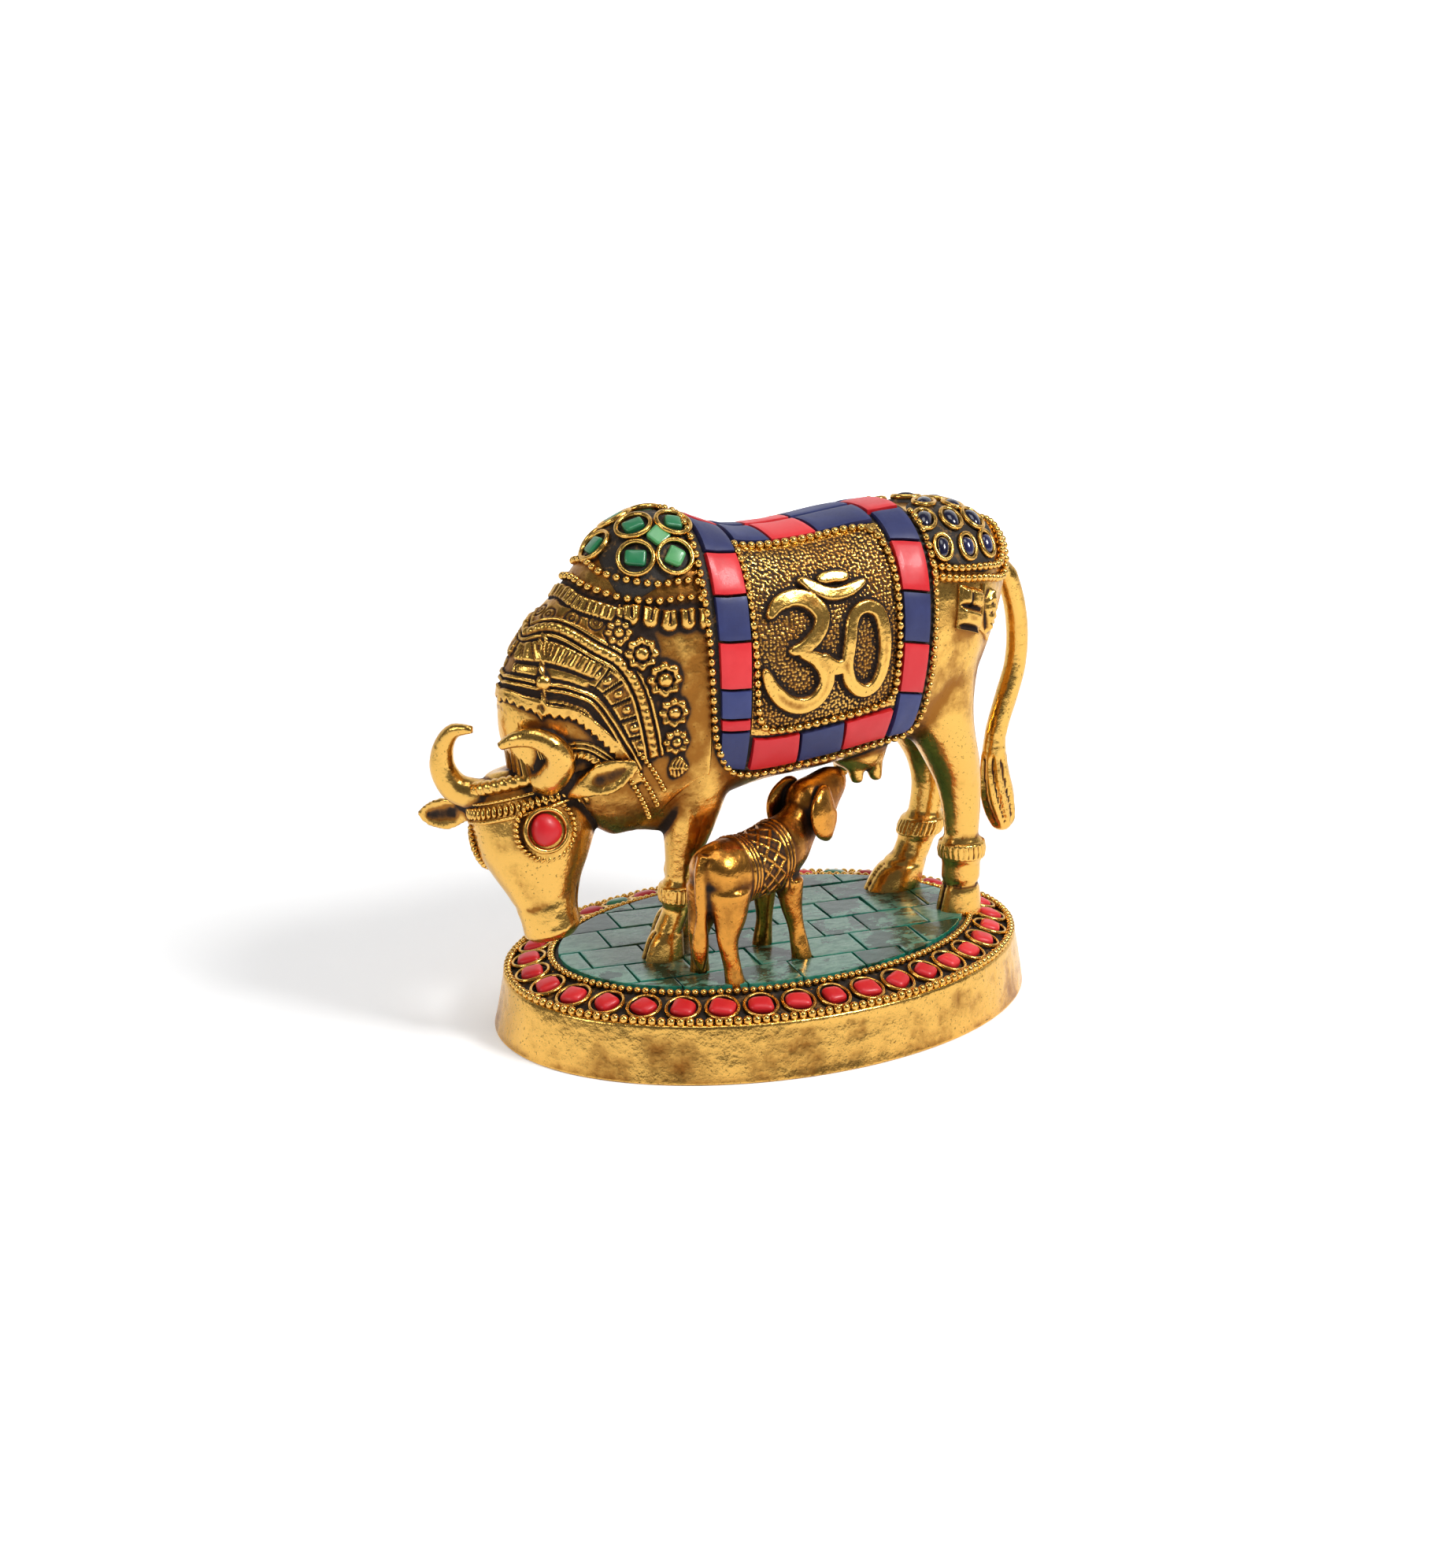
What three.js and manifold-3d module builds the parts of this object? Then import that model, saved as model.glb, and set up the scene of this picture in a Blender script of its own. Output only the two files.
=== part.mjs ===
// A brass cow with her calf on an oval plinth, inlaid with coral, lapis and malachite.
// Millimetres, +Z up. The origin is the middle of the plinth's underside. The cow faces -X
// and her left flank, where the calf stands, is on the -Y side.
import * as THREE from "three";
import Module from "manifold-3d";
import { mergeVertices } from "three/addons/utils/BufferGeometryUtils.js";

// Driving dimensions of the plinth
const BASE_LENGTH = 150;
const BASE_WIDTH = 106;
const BASE_HEIGHT = 15;
const BASE_FLARE = 2.6; // how far the foot of the plinth stands out beyond its top edge
const RIM_WIDTH = 14.5; // sloping rim between the top edge and the mosaic
const RIM_RISE = 4; // how much higher the inner edge of the rim is
const RIM_EDGE = 2.4; // width of the brass edge on each side of the coral channel
const RIM_EDGE_HEIGHT = 1;
const CHANNEL_DEPTH = 1;
const CORAL_COUNT = 36;
const CORAL_LENGTH = 7;
const CORAL_WIDTH = 6;
const CORAL_HEIGHT = 2;
const CORAL_STRIP = 2.4; // band of wax that joins the corals in the channel
const MOSAIC_THICKNESS = 2.4;
const MOSAIC_PROUD = 1; // how far the mosaic stands above the inner edge of the rim
const MOSAIC_ROW = 13;
const MOSAIC_JOINT = 0.5; // width of a joint, and its depth
const MOSAIC_TURN = THREE.MathUtils.degToRad(-7); // the rows run a little askew to the plinth
const FIT_GAP = 0.3; // clearance all round a piece that is set in another

// Driving dimensions of the two animals
const COW_HEIGHT = 120; // hooves to the top of the hump
const CALF_SHARE = 0.3167; // of the cow's height, so that the calf just reaches her udder
const CALF_HEIGHT = CALF_SHARE * COW_HEIGHT; // hooves to the withers

// Driving dimensions of the saddle cloth and the stones
const CLOTH_THICKNESS = 0.8;
const EDGE_WIDTH = 1.7; // beaded edging on each side of the tile border
const EDGE_HEIGHT = 2.6;
const TILE_THICKNESS = 1.4;
const TILE_JOINT = 0.6;
const COLUMN_WIDTH = 10; // tile border, measured along the cow
const HEM_WIDTH = 11; // tile border along the lower edge
const RIDGE_HALF = 12.2; // half the width of the border along the back
const LETTER_HEIGHT = 2.4; // relief of the Om above the cow's flank
const HUMP_STONE = 4.3; // radius of a bezel on the hump
const RUMP_STONE = 3.7;
const EYE_STONE = 5.4;
const BEZEL_WALL = 0.8;
const BEZEL_HEIGHT = 1.3;

const RIM_TOP = BASE_HEIGHT + RIM_RISE;
const GROUND = RIM_TOP + MOSAIC_PROUD; // the mosaic's top, where the animals stand
const BED = GROUND - MOSAIC_THICKNESS; // the brass floor under the mosaic

const wasm = await Module();
wasm.setup();

const materials = {
  brass: new THREE.MeshStandardMaterial({ color: 0xc39434, roughness: 0.35, metalness: 1 }),
  darkBrass: new THREE.MeshStandardMaterial({ color: 0x94652a, roughness: 0.4, metalness: 1 }),
  coral: new THREE.MeshStandardMaterial({ color: 0xd81f2a, roughness: 0.4 }),
  lapis: new THREE.MeshStandardMaterial({ color: 0x26305f, roughness: 0.45 }),
  malachite: new THREE.MeshStandardMaterial({ color: 0x2f6f5c, roughness: 0.4 }),
  greenStone: new THREE.MeshStandardMaterial({ color: 0x3f9060, roughness: 0.4 }),
  onyx: new THREE.MeshStandardMaterial({ color: 0x14142e, roughness: 0.2 }),
};

// Small vector and number helpers

const vec = (x, y, z) => new THREE.Vector3(x, y, z);
const lerp = (a, b, t) => a + (b - a) * t;
const power = (value, exponent) => Math.sign(value) * Math.abs(value) ** exponent;
const radians = THREE.MathUtils.degToRad;

// Catmull-Rom value of a list of equal-length rows at t from 0 to 1.
function rowAt(rows, t) {
  const last = rows.length - 1;
  const place = Math.min(Math.max(t, 0), 1) * last;
  const i = Math.min(Math.floor(place), last - 1);
  const f = place - i;
  const [a, b, c, d] = [i - 1, i, i + 1, i + 2].map((k) => rows[Math.min(Math.max(k, 0), last)]);
  return b.map(
    (_, k) =>
      0.5 *
      (2 * b[k] +
        (c[k] - a[k]) * f +
        (2 * a[k] - 5 * b[k] + 4 * c[k] - d[k]) * f * f +
        (3 * b[k] - a[k] - 3 * c[k] + d[k]) * f * f * f),
  );
}

// Solids

// A closed grid of points, rows by columns, wrapped round in the columns, as a manifold solid.
function solidOfRings(rings) {
  const sides = rings[0].length;
  const points = rings.flat();
  const faces = [];
  for (let r = 0; r < rings.length - 1; r++)
    for (let k = 0; k < sides; k++) {
      const a = r * sides + k;
      const b = r * sides + ((k + 1) % sides);
      faces.push([a, b, b + sides], [a, b + sides, a + sides]);
    }
  for (const [ring, flip] of [[0, true], [rings.length - 1, false]]) {
    const middle = rings[ring].reduce((sum, p) => sum.add(p), vec(0, 0, 0)).divideScalar(sides);
    const hub = points.push(middle) - 1;
    for (let k = 0; k < sides; k++) {
      const a = ring * sides + k;
      const b = ring * sides + ((k + 1) % sides);
      faces.push(flip ? [hub, b, a] : [hub, a, b]);
    }
  }
  return solidOfFaces(points, faces);
}

// The same without ends: the last ring joins the first.
function solidOfTube(rings) {
  const sides = rings[0].length;
  const faces = [];
  for (let r = 0; r < rings.length; r++)
    for (let k = 0; k < sides; k++) {
      const next = ((r + 1) % rings.length) * sides;
      const [a, b] = [k, (k + 1) % sides];
      faces.push([r * sides + a, r * sides + b, next + b], [r * sides + a, next + b, next + a]);
    }
  return solidOfFaces(rings.flat(), faces);
}

function solidOfFaces(points, faces) {
  const make = (list) =>
    new wasm.Manifold(
      new wasm.Mesh({
        numProp: 3,
        vertProperties: new Float32Array(points.flatMap((p) => [p.x, p.y, p.z])),
        triVerts: new Uint32Array(list.flat()),
      }),
    );
  const made = make(faces);
  return made.volume() > 0 ? made : make(faces.map(([a, b, c]) => [a, c, b]));
}

function solidOfGeometry(geometry) {
  const bare = geometry.clone();
  bare.deleteAttribute("normal");
  bare.deleteAttribute("uv");
  const merged = mergeVertices(bare, 1e-4);
  return new wasm.Manifold(
    new wasm.Mesh({
      numProp: 3,
      vertProperties: new Float32Array(merged.attributes.position.array),
      triVerts: new Uint32Array(merged.index.array),
    }),
  );
}

const union = (solids) => solids.reduce((all, one) => all.add(one));

// The largest part of a union: shells closed off inside it are left out.
function outerShell(solid) {
  return solid.decompose().reduce((best, one) => (one.volume() > best.volume() ? one : best));
}

function meshOf(solid, name, material) {
  const made = solid.getMesh();
  const geometry = new THREE.BufferGeometry();
  geometry.setAttribute("position", new THREE.BufferAttribute(made.vertProperties, 3));
  geometry.setIndex(new THREE.BufferAttribute(made.triVerts, 1));
  geometry.computeVertexNormals();
  const mesh = new THREE.Mesh(geometry, material);
  mesh.name = name;
  return mesh;
}

// A superellipse ring about a centre, from two half-axis vectors.
function ring(centre, across, along, sides, exponent = 2) {
  const points = [];
  for (let k = 0; k < sides; k++) {
    const angle = (2 * Math.PI * k) / sides;
    points.push(
      centre
        .clone()
        .addScaledVector(across, power(Math.cos(angle), 2 / exponent))
        .addScaledVector(along, power(Math.sin(angle), 2 / exponent)),
    );
  }
  return points;
}

// A round limb through stations of [x, y, z, radius along, radius across], kept level.
function levelLimb(stations, sides, exponent = 2) {
  return solidOfRings(
    stations.map(([x, y, z, rx, ry]) => ring(vec(x, y, z), vec(rx, 0, 0), vec(0, ry, 0), sides, exponent)),
  );
}

// A limb whose rings stand square to its own centre line: stations of [x, y, z, r, flat],
// where flat is the share of r that the limb keeps along the side vector.
function bentLimb(stations, sides, count, side = vec(0, 1, 0)) {
  const curve = new THREE.CatmullRomCurve3(stations.map(([x, y, z]) => vec(x, y, z)));
  const rings = [];
  for (let i = 0; i <= count; i++) {
    const t = i / count;
    const [, , , r, flat] = rowAt(stations, t);
    const centre = curve.getPoint(t);
    const tangent = curve.getTangent(t);
    const across = side.clone().addScaledVector(tangent, -side.dot(tangent)).normalize();
    const along = tangent.clone().cross(across);
    rings.push(ring(centre, across.multiplyScalar(r * flat), along.multiplyScalar(r), sides));
  }
  return solidOfRings(rings);
}

// A rib along a line of points, standing on a surface whose normals are given. closed joins
// its two ends, and flat is the share of its width that it keeps at the top.
function rib(points, normals, width, height, closed, flat = 0.5) {
  const rings = points.map((p, i) => {
    const before = points[closed ? (i - 1 + points.length) % points.length : Math.max(i - 1, 0)];
    const after = points[closed ? (i + 1) % points.length : Math.min(i + 1, points.length - 1)];
    const side = after.clone().sub(before).cross(normals[i]).normalize();
    const sunk = p.clone().addScaledVector(normals[i], -height);
    return [
      sunk.clone().addScaledVector(side, width / 2),
      p.clone().addScaledVector(side, (flat * width) / 2).addScaledVector(normals[i], height),
      p.clone().addScaledVector(side, (-flat * width) / 2).addScaledVector(normals[i], height),
      sunk.clone().addScaledVector(side, -width / 2),
    ];
  });
  return closed ? solidOfTube(rings) : solidOfRings(rings);
}

// The cow's trunk and neck

// Her tables are drawn for a height of 120.
const COW_SCALE = COW_HEIGHT / 120;
const cow = (value) => value * COW_SCALE;

// Rings from the tail to the back of the head: top x, top z, bottom x, bottom z, half width.
const TRUNK = [
  [73, 96, 65.5, 79, 5],
  [71, 102, 60, 67, 11.5],
  [65.5, 108.6, 53.5, 57, 17.5],
  [57.5, 112, 47.5, 52, 22],
  [46, 114, 39, 50.5, 24.5],
  [34, 113.8, 30, 49, 25.5],
  [22, 113, 20, 47, 26],
  [10, 111.5, 8, 45.5, 26],
  [-2, 110.5, -4, 44.8, 25.5],
  [-13, 111, -14, 43, 24.5],
  [-23, 114, -22, 40, 23],
  [-32.5, 117.5, -28, 36, 21.5],
  [-42.5, 115.2, -33.5, 34, 20],
  [-51.5, 107.6, -38.5, 34.8, 18.5],
  [-59.7, 98.4, -43, 35.3, 17],
  [-68, 91, -47, 35, 14],
  [-73.8, 82, -50, 36.5, 11],
  [-76.3, 73, -52.5, 38.5, 9],
  [-76, 64, -54.5, 41, 8],
  [-73, 56, -56, 44, 6.5],
];
const TRUNK_SQUARENESS = 2.35;

function trunkRing(t) {
  const [topX, topZ, bottomX, bottomZ, half] = rowAt(TRUNK, t).map(cow);
  const top = vec(topX, 0, topZ + GROUND);
  const bottom = vec(bottomX, 0, bottomZ + GROUND);
  return {
    centre: top.clone().add(bottom).multiplyScalar(0.5),
    upward: top.clone().sub(bottom).multiplyScalar(0.5),
    half,
  };
}

// Point of the trunk's skin: turn is in degrees from the back, positive towards -Y.
function skin(t, turn) {
  const { centre, upward, half } = trunkRing(t);
  const angle = radians(turn);
  return centre
    .addScaledVector(upward, power(Math.cos(angle), 2 / TRUNK_SQUARENESS))
    .addScaledVector(vec(0, -half, 0), power(Math.sin(angle), 2 / TRUNK_SQUARENESS));
}

function skinNormal(t, turn) {
  const alongBody = skin(t + 0.002, turn).sub(skin(t - 0.002, turn));
  const aroundBody = skin(t, turn + 0.5).sub(skin(t, turn - 0.5));
  return alongBody.cross(aroundBody).normalize();
}

const lifted = (t, turn, height) => skin(t, turn).addScaledVector(skinNormal(t, turn), height);

// Share of the way along the trunk at which its middle line passes x, by halving.
function shareAt(x) {
  let [low, high] = [0, 1];
  for (let i = 0; i < 40; i++) {
    const middle = (low + high) / 2;
    if (trunkRing(middle).centre.x > x) low = middle;
    else high = middle;
  }
  return low;
}

// Turn at which the skin at t is a given distance round from the back, on the +turn side.
function turnAt(t, distance) {
  const step = 1;
  let [turn, gone] = [0, 0];
  while (gone < distance && turn < 175) {
    gone += skin(t, turn + step).distanceTo(skin(t, turn));
    turn += step;
  }
  return turn - (step * (gone - distance)) / Math.max(gone, step);
}

function trunkSolid() {
  const rings = [];
  const count = 28;
  const sides = 20;
  for (let i = 0; i <= count; i++)
    rings.push([...Array(sides).keys()].map((k) => skin(i / count, (360 * k) / sides)));
  return solidOfRings(rings);
}

// A slab that follows the skin from height low to height high. spans lists, from the back
// outwards, [distance from the back, first x, last x]; side is 1 for the -Y flank, -1 for +Y.
function skinSlab(spans, low, high, side, alongCount = 1) {
  const points = [];
  for (const height of [low, high])
    for (let i = 0; i <= alongCount; i++)
      for (const [away, x0, x1] of spans) {
        const t = shareAt(lerp(x0, x1, i / alongCount));
        const turn = Math.sign(away) * turnAt(t, Math.abs(away));
        points.push(lifted(t, side * turn, height));
      }
  const wide = spans.length;
  const layer = (alongCount + 1) * wide;
  const at = (i, j, up) => up * layer + i * wide + j;
  const faces = [];
  const quad = (a, b, c, d) => faces.push([a, b, c], [a, c, d]);
  for (let i = 0; i < alongCount; i++) {
    for (let j = 0; j < wide - 1; j++) {
      quad(at(i, j, 0), at(i, j + 1, 0), at(i + 1, j + 1, 0), at(i + 1, j, 0));
      quad(at(i, j, 1), at(i + 1, j, 1), at(i + 1, j + 1, 1), at(i, j + 1, 1));
    }
    const end = wide - 1;
    quad(at(i, 0, 0), at(i + 1, 0, 0), at(i + 1, 0, 1), at(i, 0, 1));
    quad(at(i, end, 0), at(i, end, 1), at(i + 1, end, 1), at(i + 1, end, 0));
  }
  for (let j = 0; j < wide - 1; j++) {
    const end = alongCount;
    quad(at(0, j, 0), at(0, j, 1), at(0, j + 1, 1), at(0, j + 1, 0));
    quad(at(end, j, 0), at(end, j + 1, 0), at(end, j + 1, 1), at(end, j, 1));
  }
  return solidOfFaces(points, faces);
}

// Spans of a straight-sided slab between two x lines and two distances from the back.
const evenSpans = (x0, x1, away0, away1, count) =>
  [...Array(count + 1).keys()].map((i) => [lerp(away0, away1, i / count), x0, x1]);

// The saddle cloth

const CLOTH_FRONT = cow(-27); // outer edges of the tile border along the cow
const CLOTH_REAR = cow(34.2);
const CLOTH_DROP = cow(72.5); // distance round the flank from the back to the lower edge
const CLOTH_CORNER = cow(5.5); // how much is cut off the lower corners
const PANEL_FRONT = CLOTH_FRONT + COLUMN_WIDTH;
const PANEL_REAR = CLOTH_REAR - COLUMN_WIDTH;
const PANEL_TOP = RIDGE_HALF;
const PANEL_BOTTOM = CLOTH_DROP - HEM_WIDTH;

function clothLine(x, away, side) {
  const t = shareAt(x);
  const turn = side * turnAt(t, away);
  return { point: lifted(t, turn, 0), normal: skinNormal(t, turn) };
}

function clothRib(corners, side, closed) {
  const line = [];
  for (let c = 0; c < corners.length - (closed ? 0 : 1); c++) {
    const [x0, away0] = corners[c];
    const [x1, away1] = corners[(c + 1) % corners.length];
    const count = Math.max(1, Math.round(Math.hypot(x1 - x0, away1 - away0) / 12));
    for (let i = 0; i < count; i++)
      line.push(clothLine(lerp(x0, x1, i / count), lerp(away0, away1, i / count), side));
  }
  if (!closed) line.push(clothLine(...corners[corners.length - 1], side));
  return rib(
    line.map((l) => l.point),
    line.map((l) => l.normal),
    EDGE_WIDTH,
    EDGE_HEIGHT,
    closed,
  );
}

function saddleCloth() {
  const half = EDGE_WIDTH / 2;
  const corner = CLOTH_CORNER;
  const [low, high] = [-1, CLOTH_THICKNESS];
  const square = CLOTH_DROP - corner;
  const spans = [
    [-CLOTH_DROP, CLOTH_FRONT + corner, CLOTH_REAR - corner],
    ...evenSpans(CLOTH_FRONT, CLOTH_REAR, -square, square, 12),
    [CLOTH_DROP, CLOTH_FRONT + corner, CLOTH_REAR - corner],
  ];
  const pieces = [skinSlab(spans, low, high, 1, 8)];
  for (const side of [1, -1])
    pieces.push(
      clothRib(
        [
          [CLOTH_FRONT - half, 0.2],
          [CLOTH_FRONT - half, square],
          [CLOTH_FRONT + corner, CLOTH_DROP + half],
          [CLOTH_REAR - corner, CLOTH_DROP + half],
          [CLOTH_REAR + half, square],
          [CLOTH_REAR + half, 0.2],
        ],
        side,
        false,
      ),
      clothRib(
        [
          [PANEL_FRONT + half, PANEL_TOP + half],
          [PANEL_FRONT + half, PANEL_BOTTOM - half],
          [PANEL_REAR - half, PANEL_BOTTOM - half],
          [PANEL_REAR - half, PANEL_TOP + half],
        ],
        side,
        true,
      ),
    );
  return pieces;
}

// The Om on each flank, a traditional sign, drawn in the panel's own square from 0 to 1
// each way; across runs to the viewer's right and down from the top.
const OM_UPPER = [
  [0.11, 0.4],
  [0.19, 0.33],
  [0.31, 0.31],
  [0.43, 0.36],
  [0.47, 0.45],
  [0.42, 0.53],
  [0.3, 0.58],
];
const OM_LOWER = [
  [0.32, 0.585],
  [0.44, 0.65],
  [0.49, 0.76],
  [0.43, 0.86],
  [0.3, 0.88],
  [0.17, 0.82],
  [0.07, 0.67],
];
const OM_JOIN = [[0.42, 0.64], [0.56, 0.71], [0.66, 0.69]];
const OM_LOOP = [
  [0.65, 0.6],
  [0.7, 0.47],
  [0.8, 0.43],
  [0.9, 0.5],
  [0.92, 0.66],
  [0.88, 0.83],
  [0.77, 0.89],
  [0.66, 0.8],
];
const OM_CRESCENT = [[0.36, 0.22], [0.46, 0.3], [0.6, 0.33], [0.79, 0.27]];
const OM_STROKES = [
  { closed: false, line: OM_UPPER },
  { closed: false, line: OM_LOWER },
  { closed: false, line: OM_JOIN },
  { closed: true, line: OM_LOOP },
  { closed: false, line: OM_CRESCENT },
];
const OM_STROKE = 4.4;

function omRelief() {
  const pieces = [];
  for (const side of [1, -1])
    for (const { line, closed } of OM_STROKES) {
      const laid = line.map(([across, down]) => {
        const along = side > 0 ? across : 1 - across;
        const x = lerp(PANEL_FRONT + EDGE_WIDTH, PANEL_REAR - EDGE_WIDTH, along);
        return clothLine(x, lerp(PANEL_TOP + EDGE_WIDTH, PANEL_BOTTOM - EDGE_WIDTH, down), side);
      });
      pieces.push(
        rib(
          laid.map((l) => l.point),
          laid.map((l) => l.normal),
          OM_STROKE,
          LETTER_HEIGHT,
          closed,
          0.75,
        ),
      );
    }
  return pieces;
}

// Ends of the border's tiles, as distances from the back, and whether each is coral.
const FRONT_TILES = [
  { ends: [4, 16], coral: false },
  { ends: [16, 27], coral: true },
  { ends: [27, 38.2], coral: false },
  { ends: [38.2, 50.3], coral: true },
  { ends: [50.3, 58], coral: false },
  { ends: [58, 61.2], coral: true },
  { ends: [61.2, 72.5], coral: false },
];
const REAR_TILES = [
  { ends: [7.8, 19.5], coral: false },
  { ends: [19.5, 32.7], coral: true },
  { ends: [32.7, 45.6], coral: false },
  { ends: [45.6, 59], coral: true },
  { ends: [59, 72.5], coral: false },
];
const HEM_TILES = 3;
const TILE_MARGIN = 0.9; // from the border's edge to a tile

const tileMaterial = (isCoral) => (isCoral ? materials.coral : materials.lapis);

function tile(spans, side, name, isCoral) {
  const low = CLOTH_THICKNESS + FIT_GAP;
  return { solid: skinSlab(spans, low, low + TILE_THICKNESS, side), name, material: tileMaterial(isCoral) };
}

// A tile of a column: the lowest one loses its outer corner, as the cloth does.
function columnTile(x0, x1, [from, to], cutFront, cutRear) {
  const [near, far] = [cow(from) + TILE_JOINT / 2, Math.min(cow(to), CLOTH_DROP) - TILE_JOINT / 2];
  if (!cutFront && !cutRear) return evenSpans(x0, x1, near, far, far - near > 5 ? 2 : 1);
  return [
    [near, x0, x1],
    [far - CLOTH_CORNER, x0, x1],
    [far - TILE_MARGIN, x0 + cutFront, x1 - cutRear],
  ];
}

function saddleTiles() {
  const tiles = [];
  const front = [CLOTH_FRONT + TILE_MARGIN, PANEL_FRONT - TILE_JOINT / 2];
  const rear = [PANEL_REAR + TILE_JOINT / 2, CLOTH_REAR - TILE_MARGIN];
  const hem = (k) => lerp(PANEL_FRONT, PANEL_REAR, k / HEM_TILES);
  for (const [side, flank] of [[1, "left"], [-1, "right"]]) {
    FRONT_TILES.forEach(({ ends, coral }, i) => {
      const cut = i === FRONT_TILES.length - 1 ? CLOTH_CORNER : 0;
      const name = `saddle_tile_${flank}_front_${i + 1}`;
      tiles.push(tile(columnTile(...front, ends, cut, 0), side, name, coral));
    });
    REAR_TILES.forEach(({ ends, coral }, i) => {
      const cut = i === REAR_TILES.length - 1 ? CLOTH_CORNER : 0;
      const name = `saddle_tile_${flank}_rear_${i + 1}`;
      tiles.push(tile(columnTile(...rear, ends, 0, cut), side, name, coral));
    });
    for (let i = 0; i < HEM_TILES; i++) {
      const [x0, x1] = [hem(i) + TILE_JOINT / 2, hem(i + 1) - TILE_JOINT / 2];
      const [near, far] = [PANEL_BOTTOM + TILE_JOINT / 2, CLOTH_DROP - TILE_MARGIN];
      const hemSpans = evenSpans(x0, x1, near, far, 2);
      const backSpans = evenSpans(x0, x1, TILE_JOINT / 2, PANEL_TOP - TILE_JOINT / 2, 2);
      tiles.push(
        tile(hemSpans, side, `saddle_tile_${flank}_hem_${i + 1}`, i % 2 === 0),
        tile(backSpans, side, `saddle_tile_${flank}_back_${i + 1}`, i % 2 === 1),
      );
    }
  }
  for (const [place, columns, list] of [["front", front, FRONT_TILES], ["rear", rear, REAR_TILES]]) {
    const half = cow(list[0].ends[0]) - TILE_JOINT / 2;
    tiles.push(tile(evenSpans(...columns, -half, half, 2), 1, `saddle_tile_ridge_${place}`, true));
  }
  return tiles;
}

// Stones in round bezels, set on the skin: x, distance from the back.
const HUMP_STONES = [[-36.9, 5.2], [-29.9, 8.6], [-39.4, 13.4], [-32.4, 18]];
const HUMP_MIDDLE = [-43.5, 0];
const RUMP_STONES = [[38.5, 13.4], [45.6, 13], [52.4, 11.5]];
// Bosses in the same place as the lesser stones of the rump.
const RUMP_BOSSES = [[42, 4.3], [49.5, 4.1], [40, 22], [47.2, 21.3], [53.6, 19]];

function framedStone(centre, normal, radius, name, material) {
  const across = vec(1, 0, 0).addScaledVector(normal, -normal.x).normalize();
  const along = normal.clone().cross(across);
  const sides = 6;
  const circle = (r, height) =>
    ring(
      centre.clone().addScaledVector(normal, height),
      across.clone().multiplyScalar(r),
      along.clone().multiplyScalar(r),
      sides,
    );
  const inner = radius - BEZEL_WALL;
  const collar = solidOfRings([circle(radius * 1.08, -2), circle(radius, BEZEL_HEIGHT)]);
  const well = solidOfRings([circle(inner, 0.4), circle(inner, BEZEL_HEIGHT + 1)]);
  const stoneRadius = inner - FIT_GAP;
  const stone = solidOfRings([
    circle(stoneRadius, 0.4 + FIT_GAP),
    circle(stoneRadius * 0.95, BEZEL_HEIGHT),
    circle(stoneRadius * 0.5, BEZEL_HEIGHT + 0.9),
  ]);
  return { collar, well, stone: { solid: stone, name, material } };
}

function bodyStones() {
  const placed = [];
  const put = ([x, away], side, radius, name, material) => {
    const t = shareAt(cow(x));
    const turn = side * turnAt(t, cow(away));
    placed.push(framedStone(skin(t, turn), skinNormal(t, turn), radius, name, material));
  };
  for (const [side, flank] of [[1, "left"], [-1, "right"]]) {
    HUMP_STONES.forEach((spot, i) =>
      put(spot, side, HUMP_STONE, `hump_stone_${flank}_${i + 1}`, materials.greenStone),
    );
    RUMP_STONES.forEach((spot, i) =>
      put(spot, side, RUMP_STONE, `rump_stone_${flank}_${i + 1}`, materials.onyx),
    );
  }
  put(HUMP_MIDDLE, 1, HUMP_STONE, "hump_stone_middle", materials.greenStone);
  return placed;
}

// Low round studs on the skin: the rump's lesser stones and the flowers of the harness.
const FLOWER_BOSSES = [[-46.2, 22.8], [-43.3, 32.7], [-39.4, 44.3], [-38.1, 54], [-38, 62]];

function studs() {
  const made = [];
  for (const [spots, radius] of [[RUMP_BOSSES, RUMP_STONE * 0.9], [FLOWER_BOSSES, cow(3.3)]])
    for (const [x, away] of spots)
      for (const side of [1, -1]) {
        const t = shareAt(cow(x));
        const turn = side * turnAt(t, cow(away));
        const [centre, normal] = [skin(t, turn), skinNormal(t, turn)];
        const across = vec(1, 0, 0).addScaledVector(normal, -normal.x).normalize();
        const along = normal.clone().cross(across);
        const circle = (r, height) =>
          ring(
            centre.clone().addScaledVector(normal, height),
            across.clone().multiplyScalar(r),
            along.clone().multiplyScalar(r),
            5,
          );
        made.push(solidOfRings([circle(radius * 1.2, -1), circle(radius * 0.65, 1.3)]));
      }
  return made;
}

// Harness: ribs round the neck and shoulder at shares of the trunk, between two turns.
const HARNESS = [
  { t: 0.69, from: -45, to: 45 },
  { t: 0.72, from: -98, to: 98 },
  { t: 0.79, from: -118, to: 118 },
  { t: 0.865, from: -125, to: 125 },
];

function harness() {
  return HARNESS.map(({ t, from, to }) => {
    const count = Math.round((to - from) / 34);
    const turns = [...Array(count + 1).keys()].map((i) => lerp(from, to, i / count));
    return rib(
      turns.map((turn) => skin(t, turn)),
      turns.map((turn) => skinNormal(t, turn)),
      cow(2.8),
      cow(1.6),
      false,
    );
  });
}

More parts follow.
